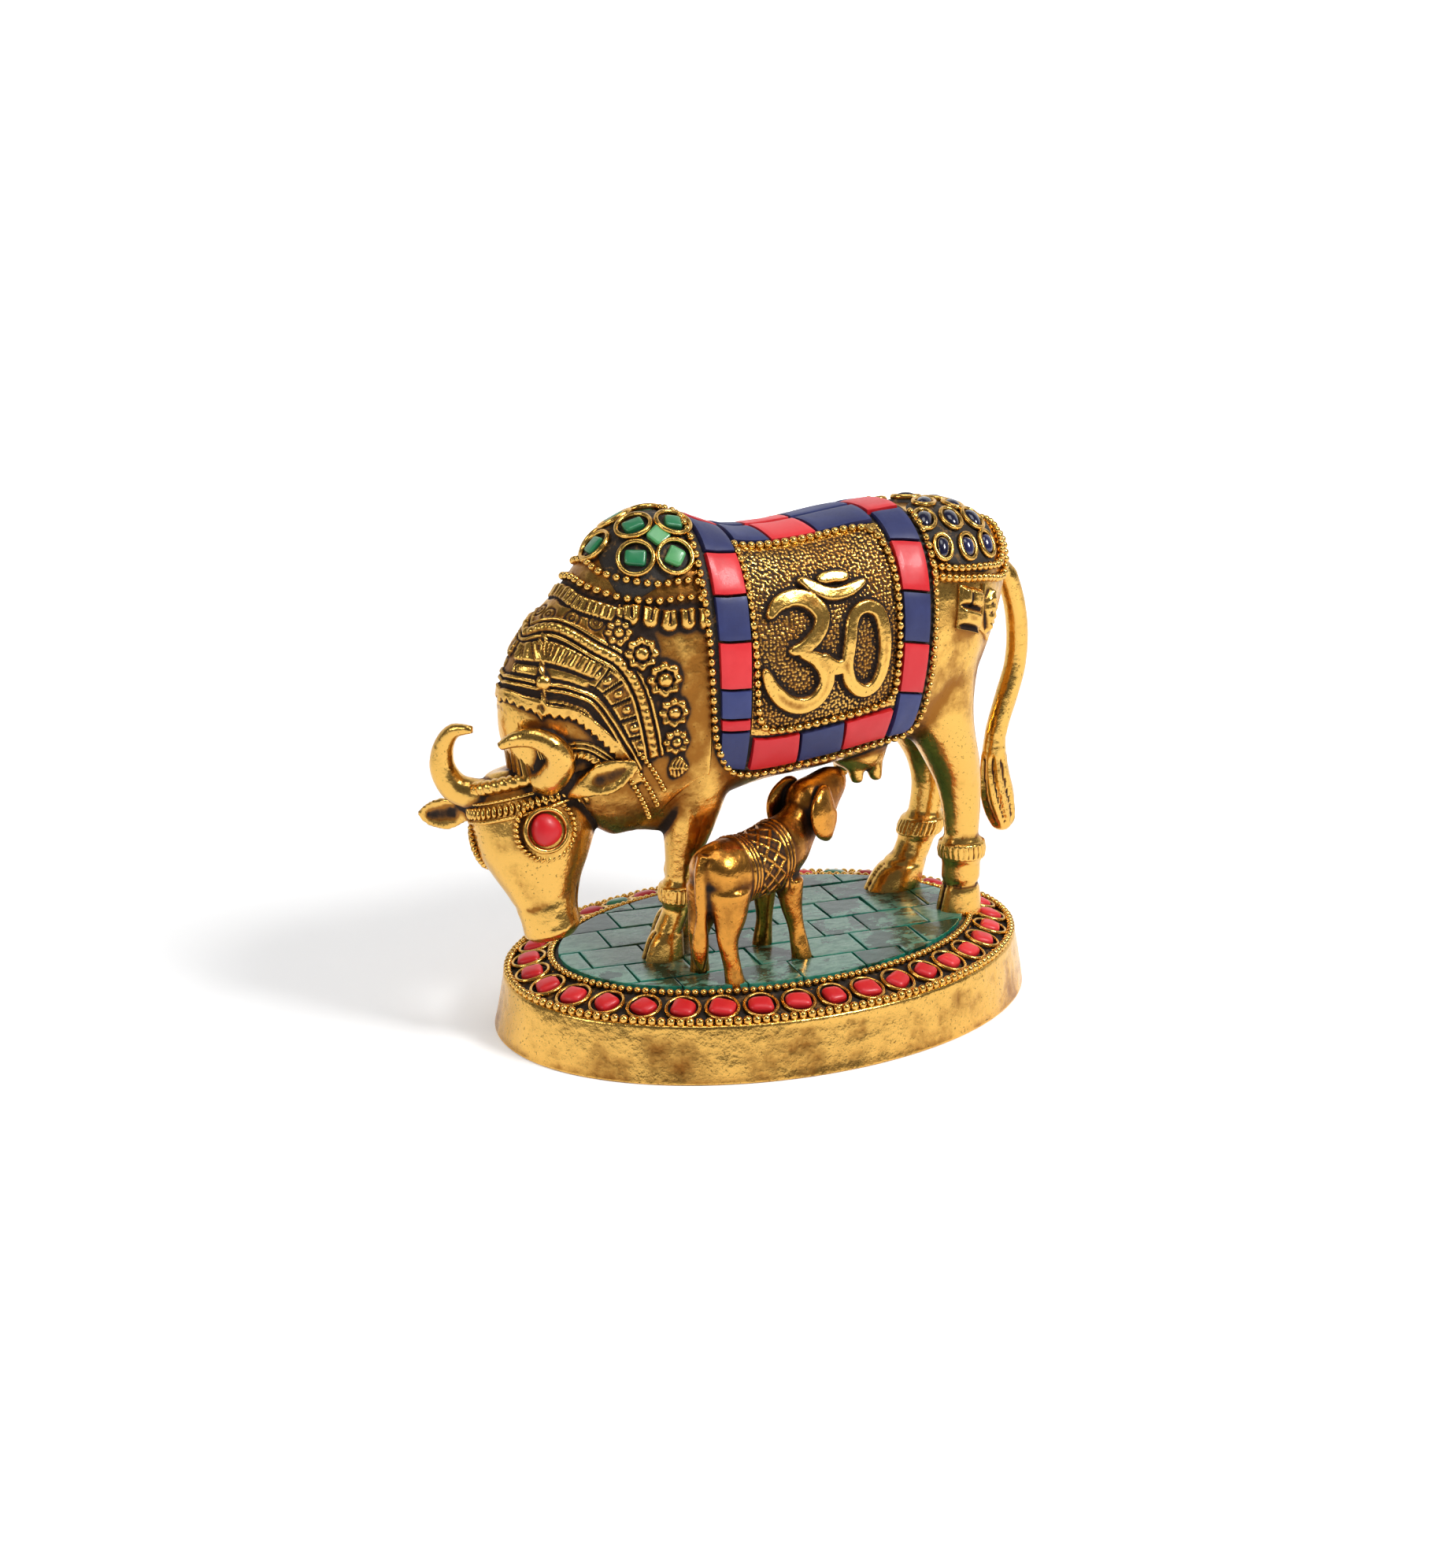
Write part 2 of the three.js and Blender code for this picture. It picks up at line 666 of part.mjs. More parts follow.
// Legs: stations of [x, y, z, radius along, radius across] from the hoof up.
const FRONT_LEG = [
  [-4.5, 0, 0, 6.3, 5.2],
  [-3.5, 0, 4.5, 5, 4.5],
  [-2.2, 0, 8, 3.9, 3.8],
  [0, 0.2, 13, 3.9, 3.9],
  [0.4, 0.3, 15, 5, 4.9],
  [0.4, 0.4, 20, 5, 4.9],
  [0.8, 0.5, 21, 4.1, 4],
  [1.5, 1.5, 29, 5.2, 4.9],
  [2.5, 2.5, 37, 7.2, 6.6],
  [3.5, 3.5, 50, 10, 8.8],
  [3.5, 3.5, 64, 10, 9],
];
const HIND_LEG = [
  [0, 0, 0, 7, 5.7],
  [0.4, 0, 4.5, 6, 5],
  [0.5, 0, 8.4, 5, 4.5],
  [0.5, 0, 9, 5.8, 5.1],
  [0.5, 0, 14, 5.8, 5.1],
  [0.5, 0, 15, 6.5, 5.9],
  [0.5, 0, 20, 6.4, 5.7],
  [0.3, 0, 21, 5, 4.5],
  [-0.2, 0, 30, 5.7, 4.8],
  [-1.8, 0.3, 38, 6.8, 5.6],
  [-5, 0.5, 46, 8.4, 7.8],
  [-10, 0.3, 60, 11, 10],
  [-9.5, -1, 76, 12.6, 11.5],
];

// Where each hoof stands, on which side, and how far back the middle of the leg is bowed.
const LEG_TOP = 76; // height at which a bowed leg is back in line
const LEGS = [
  { table: FRONT_LEG, x: -30.5, y: -6.5, bow: 0 },
  { table: FRONT_LEG, x: -21, y: 8, bow: 0 },
  { table: HIND_LEG, x: 56, y: -11.5, bow: 0 },
  { table: HIND_LEG, x: 50, y: 12.5, bow: 12 },
];

function legStations({ table, x, y, bow }) {
  const side = Math.sign(y);
  return table.map(([dx, dy, z, rx, ry]) => [
    cow(x + dx + bow * Math.sin(Math.PI * Math.min(z / LEG_TOP, 1))),
    cow(y + side * dy),
    cow(z),
    cow(rx),
    cow(ry),
  ]);
}

function legs() {
  return LEGS.map((leg) =>
    levelLimb(
      legStations(leg).map(([x, y, z, rx, ry]) => [x, y, (z > 0 ? GROUND : BED) + z, rx, ry]),
      10,
    ),
  );
}

// The head has its own axes: down the face, towards her left cheek, and out of the face.
const HEAD_TURN = radians(42);
const HEAD_LEAN = radians(17);
const HEAD_NOD = radians(2);
const POLL = vec(-74.2, 1, 49.5);

function headAxes() {
  const left = vec(
    Math.sin(HEAD_TURN) * Math.cos(HEAD_LEAN),
    -Math.cos(HEAD_TURN) * Math.cos(HEAD_LEAN),
    Math.sin(HEAD_LEAN),
  );
  const level = vec(-Math.cos(HEAD_TURN), -Math.sin(HEAD_TURN), 0);
  const drop = level.clone().cross(left).normalize();
  if (drop.z > 0) drop.negate();
  const down = drop.clone().multiplyScalar(Math.cos(HEAD_NOD)).addScaledVector(level, Math.sin(HEAD_NOD));
  const out = level.clone().multiplyScalar(Math.cos(HEAD_NOD)).addScaledVector(drop, -Math.sin(HEAD_NOD));
  return { left, down, out };
}

const HEAD = headAxes();

// Point of the head from distances down the face, to her left and out of the face.
function headPoint(down, left, out) {
  return vec(cow(POLL.x), cow(POLL.y), cow(POLL.z) + GROUND)
    .addScaledVector(HEAD.down, cow(down))
    .addScaledVector(HEAD.left, cow(left))
    .addScaledVector(HEAD.out, cow(out));
}

// Rings down the face: distance down, middle's distance out, half width, half depth.
const SKULL = [
  [-5, -9, 9, 7],
  [-2, -8.5, 12.8, 10],
  [3, -8, 15, 13],
  [9, -8, 15.6, 14.8],
  [15, -7.5, 15, 14.8],
  [21, -6, 12.3, 12.6],
  [27, -4, 9.1, 9.8],
  [33, -2.5, 7.3, 8],
  [38, -1.8, 7.2, 7],
  [40, -1.5, 5.2, 4.4],
];

function skull() {
  return solidOfRings(
    SKULL.map(([down, out, half, depth]) =>
      ring(
        headPoint(down, 0, out),
        HEAD.left.clone().multiplyScalar(cow(half)),
        HEAD.out.clone().multiplyScalar(cow(depth)),
        14,
        2.3,
      ),
    ),
  );
}

// Stations of each horn and ear: down, outwards, out of the face, radius, flatness.
const HORNS = {
  left: [
    [-0.8, 9.5, -0.5, 4.2],
    [-1.4, 13.4, 1.2, 4.1],
    [-4.6, 18, 3.2, 3.9],
    [-8.9, 18.7, 5.4, 3.3],
    [-12.7, 15.7, 7.7, 2.7],
    [-13.8, 11, 9.3, 2.1],
    [-13, 6.2, 9.8, 1.1],
  ],
  right: [
    [0, 8, -2, 4.2],
    [-1.4, 12, -1.7, 4.1],
    [-4.2, 15.2, 0, 3.9],
    [-9.8, 16, 1.5, 3.4],
    [-15.2, 13.6, 2.2, 2.7],
    [-18.6, 8.9, 3.3, 2],
    [-18, 3.2, 3.9, 1.1],
  ],
};
const EARS = {
  left: [
    [3.2, 13.5, -3, 2.6, 0.8],
    [2.8, 21.5, -1.4, 3.2, 0.55],
    [2.2, 26.2, -1.8, 4.2, 0.4],
    [1.5, 30.8, -3, 3.2, 0.4],
    [0.4, 34.6, -5, 0.9, 0.5],
  ],
  right: [
    [3, 11.6, -4, 2.6, 0.8],
    [2.9, 17.2, -3.6, 3.2, 0.55],
    [2.8, 22.4, -3.8, 4.2, 0.4],
    [2.4, 27.5, -5, 3.2, 0.4],
    [2, 31.3, -6.6, 0.9, 0.5],
  ],
};

function hornsAndEars() {
  const made = [];
  for (const [flank, side] of [["left", 1], ["right", -1]]) {
    const stations = (table) =>
      table.map(([down, outwards, out, r, flat = 1]) => {
        const p = headPoint(down, side * outwards, out);
        return [p.x, p.y, p.z, cow(r), flat];
      });
    made.push(bentLimb(stations(HORNS[flank]), 7, 8, HEAD.out));
    made.push(bentLimb(stations(EARS[flank]), 6, 5, HEAD.out));
  }
  return made;
}

// Each eye's place and facing: down the face, to her left, out of the face.
const EYES = {
  left: { place: [11, 9.2, 3.9], facing: [0, 0.64, 0.77] },
  right: { place: [11.5, -14.4, -5.5], facing: [0, -1, 0.05] },
};

function eyes() {
  return Object.entries(EYES).map(([flank, { place, facing: [down, left, out] }]) => {
    const normal = vec(0, 0, 0)
      .addScaledVector(HEAD.down, down)
      .addScaledVector(HEAD.left, left)
      .addScaledVector(HEAD.out, out)
      .normalize();
    return framedStone(headPoint(...place), normal, EYE_STONE, `eye_stone_${flank}`, materials.coral);
  });
}

// The tail hangs clear of the rump and ends in a long tuft. The udder has four teats.
const TAIL = [
  [66, 0, 97, 3.6, 1],
  [73.5, 0, 95, 3.3, 1],
  [78, 0, 87.5, 3.1, 1],
  [80.6, 0, 77, 3.1, 1],
  [80.6, 0, 66, 3.1, 1],
  [78, 0, 56.5, 3.2, 1],
  [75.6, 0, 49, 3.1, 1],
  [74.5, 0, 43, 3.3, 1],
  [74.8, 0, 34, 4.4, 1],
  [76.3, 0, 26, 5.2, 0.9],
  [78.3, 0, 19, 3.9, 0.9],
  [79.3, 0, 16.5, 1.3, 1],
];
const TEATS = [[25.5, -4], [25.5, 4], [31.5, -4], [31.5, 4]];

function tail() {
  return bentLimb(
    TAIL.map(([x, y, z, r, flat]) => [cow(x), cow(y), cow(z) + GROUND, cow(r), flat]),
    6,
    18,
  );
}

function udder() {
  const bag = levelLimb(
    [[28, 0, 52, 9, 9], [28, 0, 46, 8.5, 8.5], [28, 0, 43, 5.5, 6]].map(([x, y, z, rx, ry]) => [
      cow(x),
      cow(y),
      cow(z) + GROUND,
      cow(rx),
      cow(ry),
    ]),
    10,
  );
  const teats = TEATS.map(([x, y]) =>
    levelLimb(
      [[0, 46, 2.8], [0.4, 42, 2.2], [0.8, 38.5, 0.8]].map(([lean, z, r]) => [
        cow(x + lean),
        cow(y),
        cow(z) + GROUND,
        cow(r),
        cow(r),
      ]),
      6,
    ),
  );
  return [bag, ...teats];
}

// The calf, drawn in its own frame for a height of 38: forward, to its right, up.
const CALF_SCALE = CALF_HEIGHT / 38;
const calf = (value) => value * CALF_SCALE;
const CALF_FOOT = vec(-29, -26, 0); // between its hind hooves
const CALF_HEADING = radians(20);

function calfPoint(forward, right, up) {
  const heading = vec(Math.cos(CALF_HEADING), Math.sin(CALF_HEADING), 0);
  const sideways = vec(Math.sin(CALF_HEADING), -Math.cos(CALF_HEADING), 0);
  return vec(cow(CALF_FOOT.x), cow(CALF_FOOT.y), GROUND)
    .addScaledVector(heading, calf(forward))
    .addScaledVector(sideways, calf(right))
    .addScaledVector(vec(0, 0, 1), calf(up));
}

function calfLimb(stations, sides, count) {
  return bentLimb(
    stations.map(([forward, right, up, r, flat = 1]) => {
      const p = calfPoint(forward, right, up);
      return [p.x, p.y, p.z, calf(r), flat];
    }),
    sides,
    count,
    vec(Math.sin(CALF_HEADING), -Math.cos(CALF_HEADING), 0),
  );
}

const CALF_TRUNK = [
  [-5, 0, 27, 2.5, 1],
  [-3, 0, 27.5, 7.5, 0.9],
  [3, 0, 27.5, 9, 0.9],
  [11, 0, 27, 8.8, 0.9],
  [19, 0, 27.5, 8.8, 0.88],
  [26, 0, 29.5, 8.5, 0.85],
  [31.5, 0, 33, 6.8, 0.8],
  [35, 0, 37, 5.6, 0.85],
];
const CALF_HEAD = [
  [31.5, 0, 36.5, 4.5, 0.85],
  [34.5, 0, 37.2, 7.6, 0.78],
  [39, 0, 38.6, 7.8, 0.76],
  [43.5, 0, 41, 6.2, 0.74],
  [47.5, 0, 43, 4.4, 0.8],
  [50, 0, 44.6, 1.8, 0.9],
];
const CALF_FRONT_LEG = [[24, 22, 4.6], [24.5, 14, 3], [25.5, 8, 2.3], [26, 3, 2.6], [26.5, 0, 3]];
const CALF_HIND_LEG = [[1, 25, 6.2], [0.5, 17, 4.6], [-1, 11, 2.8], [0, 4, 2.4], [0.8, 0, 3]];

const CALF_TAIL = [
  [-4, 0, 34, 2],
  [-6, 0, 27, 1.8],
  [-5.5, 0, 17, 1.8],
  [-5, -1, 8, 2.3],
  [-4.6, -1, 3, 0.9],
];

function calfLeg(table, right, spread) {
  return levelLimb(
    table.map(([forward, up, r], i) => {
      const p = calfPoint(forward, lerp(right, spread, i / (table.length - 1)), up);
      return [p.x, p.y, i === table.length - 1 ? BED : p.z, calf(r), calf(r) * 0.9];
    }),
    8,
  );
}

function calfEar(side) {
  return calfLimb(
    [
      [37.5, side * 4.5, 42.5, 1.8],
      [35.8, side * 6.4, 42, 3.6, 0.5],
      [34, side * 7.6, 38.5, 5, 0.35],
      [34.5, side * 8, 34, 4.2, 0.35],
      [36, side * 7.8, 30.5, 1.2, 0.6],
    ],
    6,
    4,
  );
}

function calfSolid() {
  const band = (forward, up, r) =>
    calfLimb([[forward - 0.7, 0, up, r, 0.92], [forward + 0.7, 0, up, r, 0.92]], 10, 1);
  return union([
    calfLimb(CALF_TRUNK, 12, 9),
    calfLimb(CALF_HEAD, 8, 6),
    calfLeg(CALF_HIND_LEG, 3.6, 6.5),
    calfLeg(CALF_HIND_LEG, -3.6, -6.5),
    calfLeg(CALF_FRONT_LEG, 3.8, 7.4),
    calfLeg(CALF_FRONT_LEG, -3.8, -7.4),
    calfEar(1),
    calfEar(-1),
    calfLimb(CALF_TAIL, 5, 6),
    band(7, 27.2, 9.5),
    band(21.5, 28, 9.5),
  ]);
}

// The plinth

const ovalPoint = (inset, angle, z) =>
  vec((BASE_LENGTH / 2 - inset) * Math.cos(angle), (BASE_WIDTH / 2 - inset) * Math.sin(angle), z);

function ovalRing(inset, z, sides = 44) {
  return [...Array(sides).keys()].map((k) => ovalPoint(inset, (2 * Math.PI * k) / sides, z));
}

// Height of the rim's slope at a distance in from the top edge.
const rimHeight = (inset) => BASE_HEIGHT + (RIM_RISE * inset) / RIM_WIDTH;

function plinth() {
  const outerIn = RIM_EDGE;
  const innerOut = RIM_WIDTH - RIM_EDGE;
  const body = solidOfRings([
    ovalRing(-BASE_FLARE, 0),
    ovalRing(0, BASE_HEIGHT),
    ovalRing(RIM_EDGE / 2, rimHeight(RIM_EDGE / 2) + RIM_EDGE_HEIGHT),
    ovalRing(outerIn, rimHeight(outerIn)),
    ovalRing(outerIn, rimHeight(outerIn) - CHANNEL_DEPTH),
    ovalRing(innerOut, rimHeight(innerOut) - CHANNEL_DEPTH),
    ovalRing(innerOut, rimHeight(innerOut)),
    ovalRing(RIM_WIDTH - RIM_EDGE / 2, rimHeight(RIM_WIDTH) + RIM_EDGE_HEIGHT / 2),
    ovalRing(RIM_WIDTH, RIM_TOP),
    ovalRing(RIM_WIDTH, BED),
  ]);
  return body.subtract(hoofHoles(BED));
}

// Hole round a hoof where it stands in the mosaic or the rim, widened by the fit gap.
function hoofHole([x, y, , rx, ry], floor) {
  const at = (z) =>
    ring(vec(x, y, z), vec(rx + FIT_GAP * 2, 0, 0), vec(0, ry + FIT_GAP * 2, 0), 12);
  return solidOfRings([at(floor), at(GROUND + 2)]);
}

function hoofHoles(floor) {
  const hooves = [...LEGS.map((leg) => legStations(leg)[0]), ...calfHoofStations()];
  return union(hooves.map((hoof) => hoofHole(hoof, floor)));
}

function calfHoofStations() {
  const foot = (table, spread) => {
    const [forward, , r] = table[table.length - 1];
    const p = calfPoint(forward, spread, 0);
    return [p.x, p.y, 0, calf(r), calf(r) * 0.9];
  };
  return [
    foot(CALF_HIND_LEG, 6.5),
    foot(CALF_HIND_LEG, -6.5),
    foot(CALF_FRONT_LEG, 7.4),
    foot(CALF_FRONT_LEG, -7.4),
  ];
}

// Straight joints between the rows of chips.
function mosaicJoints() {
  const count = 2 * Math.floor(BASE_WIDTH / 2 / MOSAIC_ROW) + 1;
  const [sin, cos] = [Math.sin(MOSAIC_TURN), Math.cos(MOSAIC_TURN)];
  return [...Array(count).keys()].map((k) => {
    const away = (k - (count - 1) / 2) * MOSAIC_ROW;
    const joint = new THREE.BoxGeometry(BASE_LENGTH, MOSAIC_JOINT, 2 * MOSAIC_JOINT);
    joint.rotateZ(MOSAIC_TURN);
    joint.translate(-sin * away, cos * away, GROUND);
    return solidOfGeometry(joint);
  });
}

function mosaicFloor() {
  const inset = RIM_WIDTH + FIT_GAP;
  const slab = solidOfRings([
    ovalRing(inset, BED),
    ovalRing(inset, GROUND - 0.5),
    ovalRing(inset + 0.5, GROUND),
  ]);
  return slab.subtract(union([hoofHoles(BED - 1), ...mosaicJoints()]));
}

// The corals of the rim, standing in one narrow band of setting wax along the channel.
function coralRing() {
  const middle = RIM_WIDTH / 2;
  const [from, to] = [middle - CORAL_STRIP / 2, middle + CORAL_STRIP / 2];
  const low = (inset) => rimHeight(inset) - CHANNEL_DEPTH + FIT_GAP;
  const high = (inset) => rimHeight(inset) - 0.2;
  const at = (inset, height) => ovalRing(inset, height(inset), CORAL_COUNT);
  const loop = [from, to].map((inset) => [at(inset, low), at(inset, high)]);
  const rings = [loop[0][0], loop[0][1], loop[1][1], loop[1][0]];
  const band = solidOfTube(rings);
  const corals = [...Array(CORAL_COUNT).keys()].map((k) => {
    const angle = (2 * Math.PI * (k + 0.5)) / CORAL_COUNT;
    const centre = ovalPoint(middle, angle, rimHeight(middle) - 0.5);
    const along = ovalPoint(middle, angle + 0.01, 0).sub(ovalPoint(middle, angle - 0.01, 0)).normalize();
    const slope = vec(-Math.cos(angle), -Math.sin(angle), RIM_RISE / RIM_WIDTH).normalize();
    const normal = along.clone().cross(slope).normalize();
    if (normal.z < 0) normal.negate();
    const oval = (share, height) =>
      ring(
        centre.clone().addScaledVector(normal, height),
        along.clone().multiplyScalar((share * CORAL_LENGTH) / 2),
        slope.clone().multiplyScalar((share * CORAL_WIDTH) / 2),
        6,
      );
    return solidOfRings([oval(1, 0), oval(0.6, CORAL_HEIGHT)]);
  });
  return union([band, ...corals]);
}

// Assembly

const statue = new THREE.Group();
const humpAndRump = bodyStones();
const eyeStones = eyes();
const framed = [...humpAndRump, ...eyeStones];
const cast = union([
  trunkSolid(),
  ...legs(),
  skull(),
  ...hornsAndEars(),
  tail(),
  ...udder(),
  ...saddleCloth(),
  ...omRelief(),
  ...harness(),
  ...studs(),
  ...framed.map((f) => f.collar),
]);
const cowSolid = outerShell(cast.subtract(union(framed.map((f) => f.well))));

statue.add(meshOf(plinth(), "plinth", materials.brass));
statue.add(meshOf(coralRing(), "coral_ring", materials.coral));
statue.add(meshOf(mosaicFloor(), "mosaic_floor", materials.malachite));
statue.add(meshOf(cowSolid, "cow", materials.brass));
statue.add(meshOf(calfSolid(), "calf", materials.darkBrass));
for (const piece of [...saddleTiles(), ...framed.map((f) => f.stone)])
  statue.add(meshOf(piece.solid, piece.name, piece.material));

export default statue;
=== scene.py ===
"""Cow and calf: brass castings with set stones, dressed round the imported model.

Shapes are worked out in millimetres and written to the meshes in metres. Places on the cow's
trunk are given as (x, away): x of the trunk's middle line, and the distance round the skin from
the back, positive on her left flank (-Y).
"""

import math

import bpy
import numpy as np
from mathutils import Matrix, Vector


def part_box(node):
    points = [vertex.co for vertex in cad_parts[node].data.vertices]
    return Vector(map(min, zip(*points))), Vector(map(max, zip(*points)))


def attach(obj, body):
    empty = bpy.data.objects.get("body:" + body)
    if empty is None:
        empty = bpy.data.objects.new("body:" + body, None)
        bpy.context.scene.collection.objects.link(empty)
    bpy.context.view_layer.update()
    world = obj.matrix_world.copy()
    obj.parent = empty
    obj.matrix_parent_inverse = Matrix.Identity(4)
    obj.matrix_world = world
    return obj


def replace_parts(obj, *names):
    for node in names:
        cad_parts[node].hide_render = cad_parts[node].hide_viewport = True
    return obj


bl_info = {
    "name": "Cow and Calf Statue",
    "version": (1, 0, 0),
    "blender": (4, 5, 0),
    "location": "3D View > Sidebar > Statue",
    "description": "Brass cow and calf on an oval plinth, with bead wires, tiles and set stones",
    "category": "Object",
}

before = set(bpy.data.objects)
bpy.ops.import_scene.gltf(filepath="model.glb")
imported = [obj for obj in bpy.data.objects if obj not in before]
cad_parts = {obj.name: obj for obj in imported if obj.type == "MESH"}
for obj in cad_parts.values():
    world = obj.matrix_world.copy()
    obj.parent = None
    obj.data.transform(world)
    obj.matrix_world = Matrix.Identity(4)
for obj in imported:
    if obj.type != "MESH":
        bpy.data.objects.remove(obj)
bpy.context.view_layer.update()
MM = 0.001

# Sizes taken from the frame, in millimetres
PLINTH_HIGH = np.array(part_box("plinth")[1]) / MM
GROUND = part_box("mosaic_floor")[1].z / MM
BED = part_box("mosaic_floor")[0].z / MM

# Plinth
BASE_FLARE = 2.6
BASE_HALF = PLINTH_HIGH[:2] - BASE_FLARE
BASE_HEIGHT = 15.0
RIM_WIDTH = 14.5
RIM_RISE = GROUND - 1 - BASE_HEIGHT
CORAL_INSET, CORAL_RISE = 7.1, 1.75
GREEN_PLACES = (4, 11)  # numbers of the green stones among the corals
PLINTH_TINT = 0.66

# Cow: top x, top z, bottom x, bottom z and half width of the trunk's rings, tail to head
TRUNK = np.array(
    [
        [73, 96, 65.5, 79, 5],
        [71, 102, 60, 67, 11.5],
        [65.5, 108.6, 53.5, 57, 17.5],
        [57.5, 112, 47.5, 52, 22],
        [46, 114, 39, 50.5, 24.5],
        [34, 113.8, 30, 49, 25.5],
        [22, 113, 20, 47, 26],
        [10, 111.5, 8, 45.5, 26],
        [-2, 110.5, -4, 44.8, 25.5],
        [-13, 111, -14, 43, 24.5],
        [-23, 114, -22, 40, 23],
        [-32.5, 117.5, -28, 36, 21.5],
        [-42.5, 115.2, -33.5, 34, 20],
        [-51.5, 107.6, -38.5, 34.8, 18.5],
        [-59.7, 98.4, -43, 35.3, 17],
        [-68, 91, -47, 35, 14],
        [-73.8, 82, -50, 36.5, 11],
        [-76.3, 73, -52.5, 38.5, 9],
        [-76, 64, -54.5, 41, 8],
        [-73, 56, -56, 44, 6.5],
    ]
)
TRUNK_SQUARENESS = 2.35

# Saddle cloth
CLOTH_FRONT, CLOTH_REAR, CLOTH_DROP = -27.0, 34.2, 72.5
COLUMN_WIDTH, HEM_WIDTH, RIDGE_HALF = 10.0, 11.0, 12.2
PANEL_FRONT, PANEL_REAR = CLOTH_FRONT + COLUMN_WIDTH, CLOTH_REAR - COLUMN_WIDTH
PANEL_TOP, PANEL_BOTTOM = RIDGE_HALF, CLOTH_DROP - HEM_WIDTH


# Numbers and vectors


def power(value, exponent):
    """Signed power: the sign of the value times its size to the exponent."""
    return np.sign(value) * np.abs(value) ** exponent


def unit(vectors):
    """Vectors divided by their own lengths."""
    return vectors / np.maximum(np.linalg.norm(vectors, axis=-1, keepdims=True), 1e-9)


def step(value, low, high):
    """Smooth step: 0 below low, 1 above high, 3s^2 - 2s^3 between."""
    s = np.clip((value - low) / (high - low), 0, 1)
    return s * s * (3 - 2 * s)


def bump(value, middle, width):
    """Bell curve: 1 at the middle, falling off as exp(-(distance / width)^2)."""
    return np.exp(-(((value - middle) / width) ** 2))


def row_at(rows, t):
    """Catmull-Rom value of a table's rows at t from 0 to 1."""
    rows = np.asarray(rows, float)
    last = len(rows) - 1
    place = np.clip(np.asarray(t, float), 0, 1) * last
    i = np.minimum(np.floor(place).astype(int), last - 1)
    f = (place - i)[..., None]
    a, b, c, d = (rows[np.clip(i + k, 0, last)] for k in (-1, 0, 1, 2))
    cubic = 3 * b - a - 3 * c + d
    return 0.5 * (2 * b + (c - a) * f + (2 * a - 5 * b + 4 * c - d) * f**2 + cubic * f**3)


def scatter(*numbers):
    """Repeatable pseudo-random share from 0 to 1: the fraction of a large sine of the numbers."""
    total = sum(np.asarray(n, float) * k for n, k in zip(numbers, (12.9898, 78.233, 37.719)))
    return np.modf(np.abs(np.sin(total) * 43758.5453))[0]


def speckle(u, v, pitch):
    """Distance, in pitches, from (u, v) to the nearest point of a jittered grid of that pitch."""
    cu, cv = np.floor(u / pitch), np.floor(v / pitch)
    best = np.full(np.shape(u), 9.0)
    for i in (-1, 0, 1):
        for j in (-1, 0, 1):
            gu, gv = cu + i, cv + j
            du = u / pitch - gu - 0.15 - 0.7 * scatter(gu, gv)
            dv = v / pitch - gv - 0.15 - 0.7 * scatter(gv, gu, 3.7)
            best = np.minimum(best, np.hypot(du, dv))
    return best


def circle(count):
    """Angles of a full turn in even steps."""
    return 2 * np.pi * np.arange(count) / count


def running(points):
    """Running length of a line at each of its points."""
    return np.concatenate([[0], np.cumsum(np.linalg.norm(np.diff(points, axis=0), axis=1))])


# The trunk's skin


def skin(t, turn):
    """Point of the trunk: a superellipse ring through the table's top, bottom and half width."""
    t, turn = np.broadcast_arrays(np.asarray(t, float), np.asarray(turn, float))
    row = row_at(TRUNK, t)
    zero = np.zeros_like(t)
    top = np.stack([row[..., 0], zero, row[..., 1] + GROUND], -1)
    bottom = np.stack([row[..., 2], zero, row[..., 3] + GROUND], -1)
    angle = np.radians(turn)
    up = power(np.cos(angle), 2 / TRUNK_SQUARENESS)[..., None]
    out = power(np.sin(angle), 2 / TRUNK_SQUARENESS)[..., None]
    sideways = np.stack([zero, -row[..., 4], zero], -1)
    return (top + bottom) / 2 + (top - bottom) / 2 * up + sideways * out


def skin_normal(t, turn):
    """Outward normal: the cross product of the skin's two small steps."""
    along = skin(t + 0.002, turn) - skin(t - 0.002, turn)
    around = skin(t, turn + 0.5) - skin(t, turn - 0.5)
    return unit(np.cross(along, around))


SHARES = np.linspace(0, 1, 1201)
MIDDLE_X = row_at(TRUNK, SHARES)[:, [0, 2]].mean(1)
TURNS = np.arange(0, 176, 1.0)
AWAY_STEP = 0.5
AWAYS = np.arange(0, 110, AWAY_STEP)


def turn_table():
    """Turn at each distance from the back, for each share of the trunk: running skin lengths."""
    points = skin(SHARES[::8, None], TURNS[None])
    lengths = np.linalg.norm(np.diff(points, axis=1), axis=2)
    gone = np.concatenate([np.zeros((len(points), 1)), np.cumsum(lengths, 1)], 1)
    return np.stack([np.interp(AWAYS, line, TURNS) for line in gone])


TURN_TABLE = turn_table()


def locate(x, away):
    """Share and turn of (x, away), read from the tables with straight lines between entries."""
    x, away = np.broadcast_arrays(np.asarray(x, float), np.asarray(away, float))
    t = np.interp(-x, -MIDDLE_X, SHARES)
    row = np.clip(t * (len(TURN_TABLE) - 1), 0, len(TURN_TABLE) - 1.001)
    column = np.clip(np.abs(away) / AWAY_STEP, 0, len(AWAYS) - 1.001)
    i, j = row.astype(int), column.astype(int)
    a, b = row - i, column - j
    near = TURN_TABLE[i, j] * (1 - b) + TURN_TABLE[i, j + 1] * b
    far = TURN_TABLE[i + 1, j] * (1 - b) + TURN_TABLE[i + 1, j + 1] * b
    return t, np.sign(away) * (near * (1 - a) + far * a)


def place(x, away, height=0.0):
    """Point of the skin at (x, away), lifted along its normal."""
    t, turn = locate(x, away)
    return skin(t, turn) + skin_normal(t, turn) * np.asarray(height)[..., None]


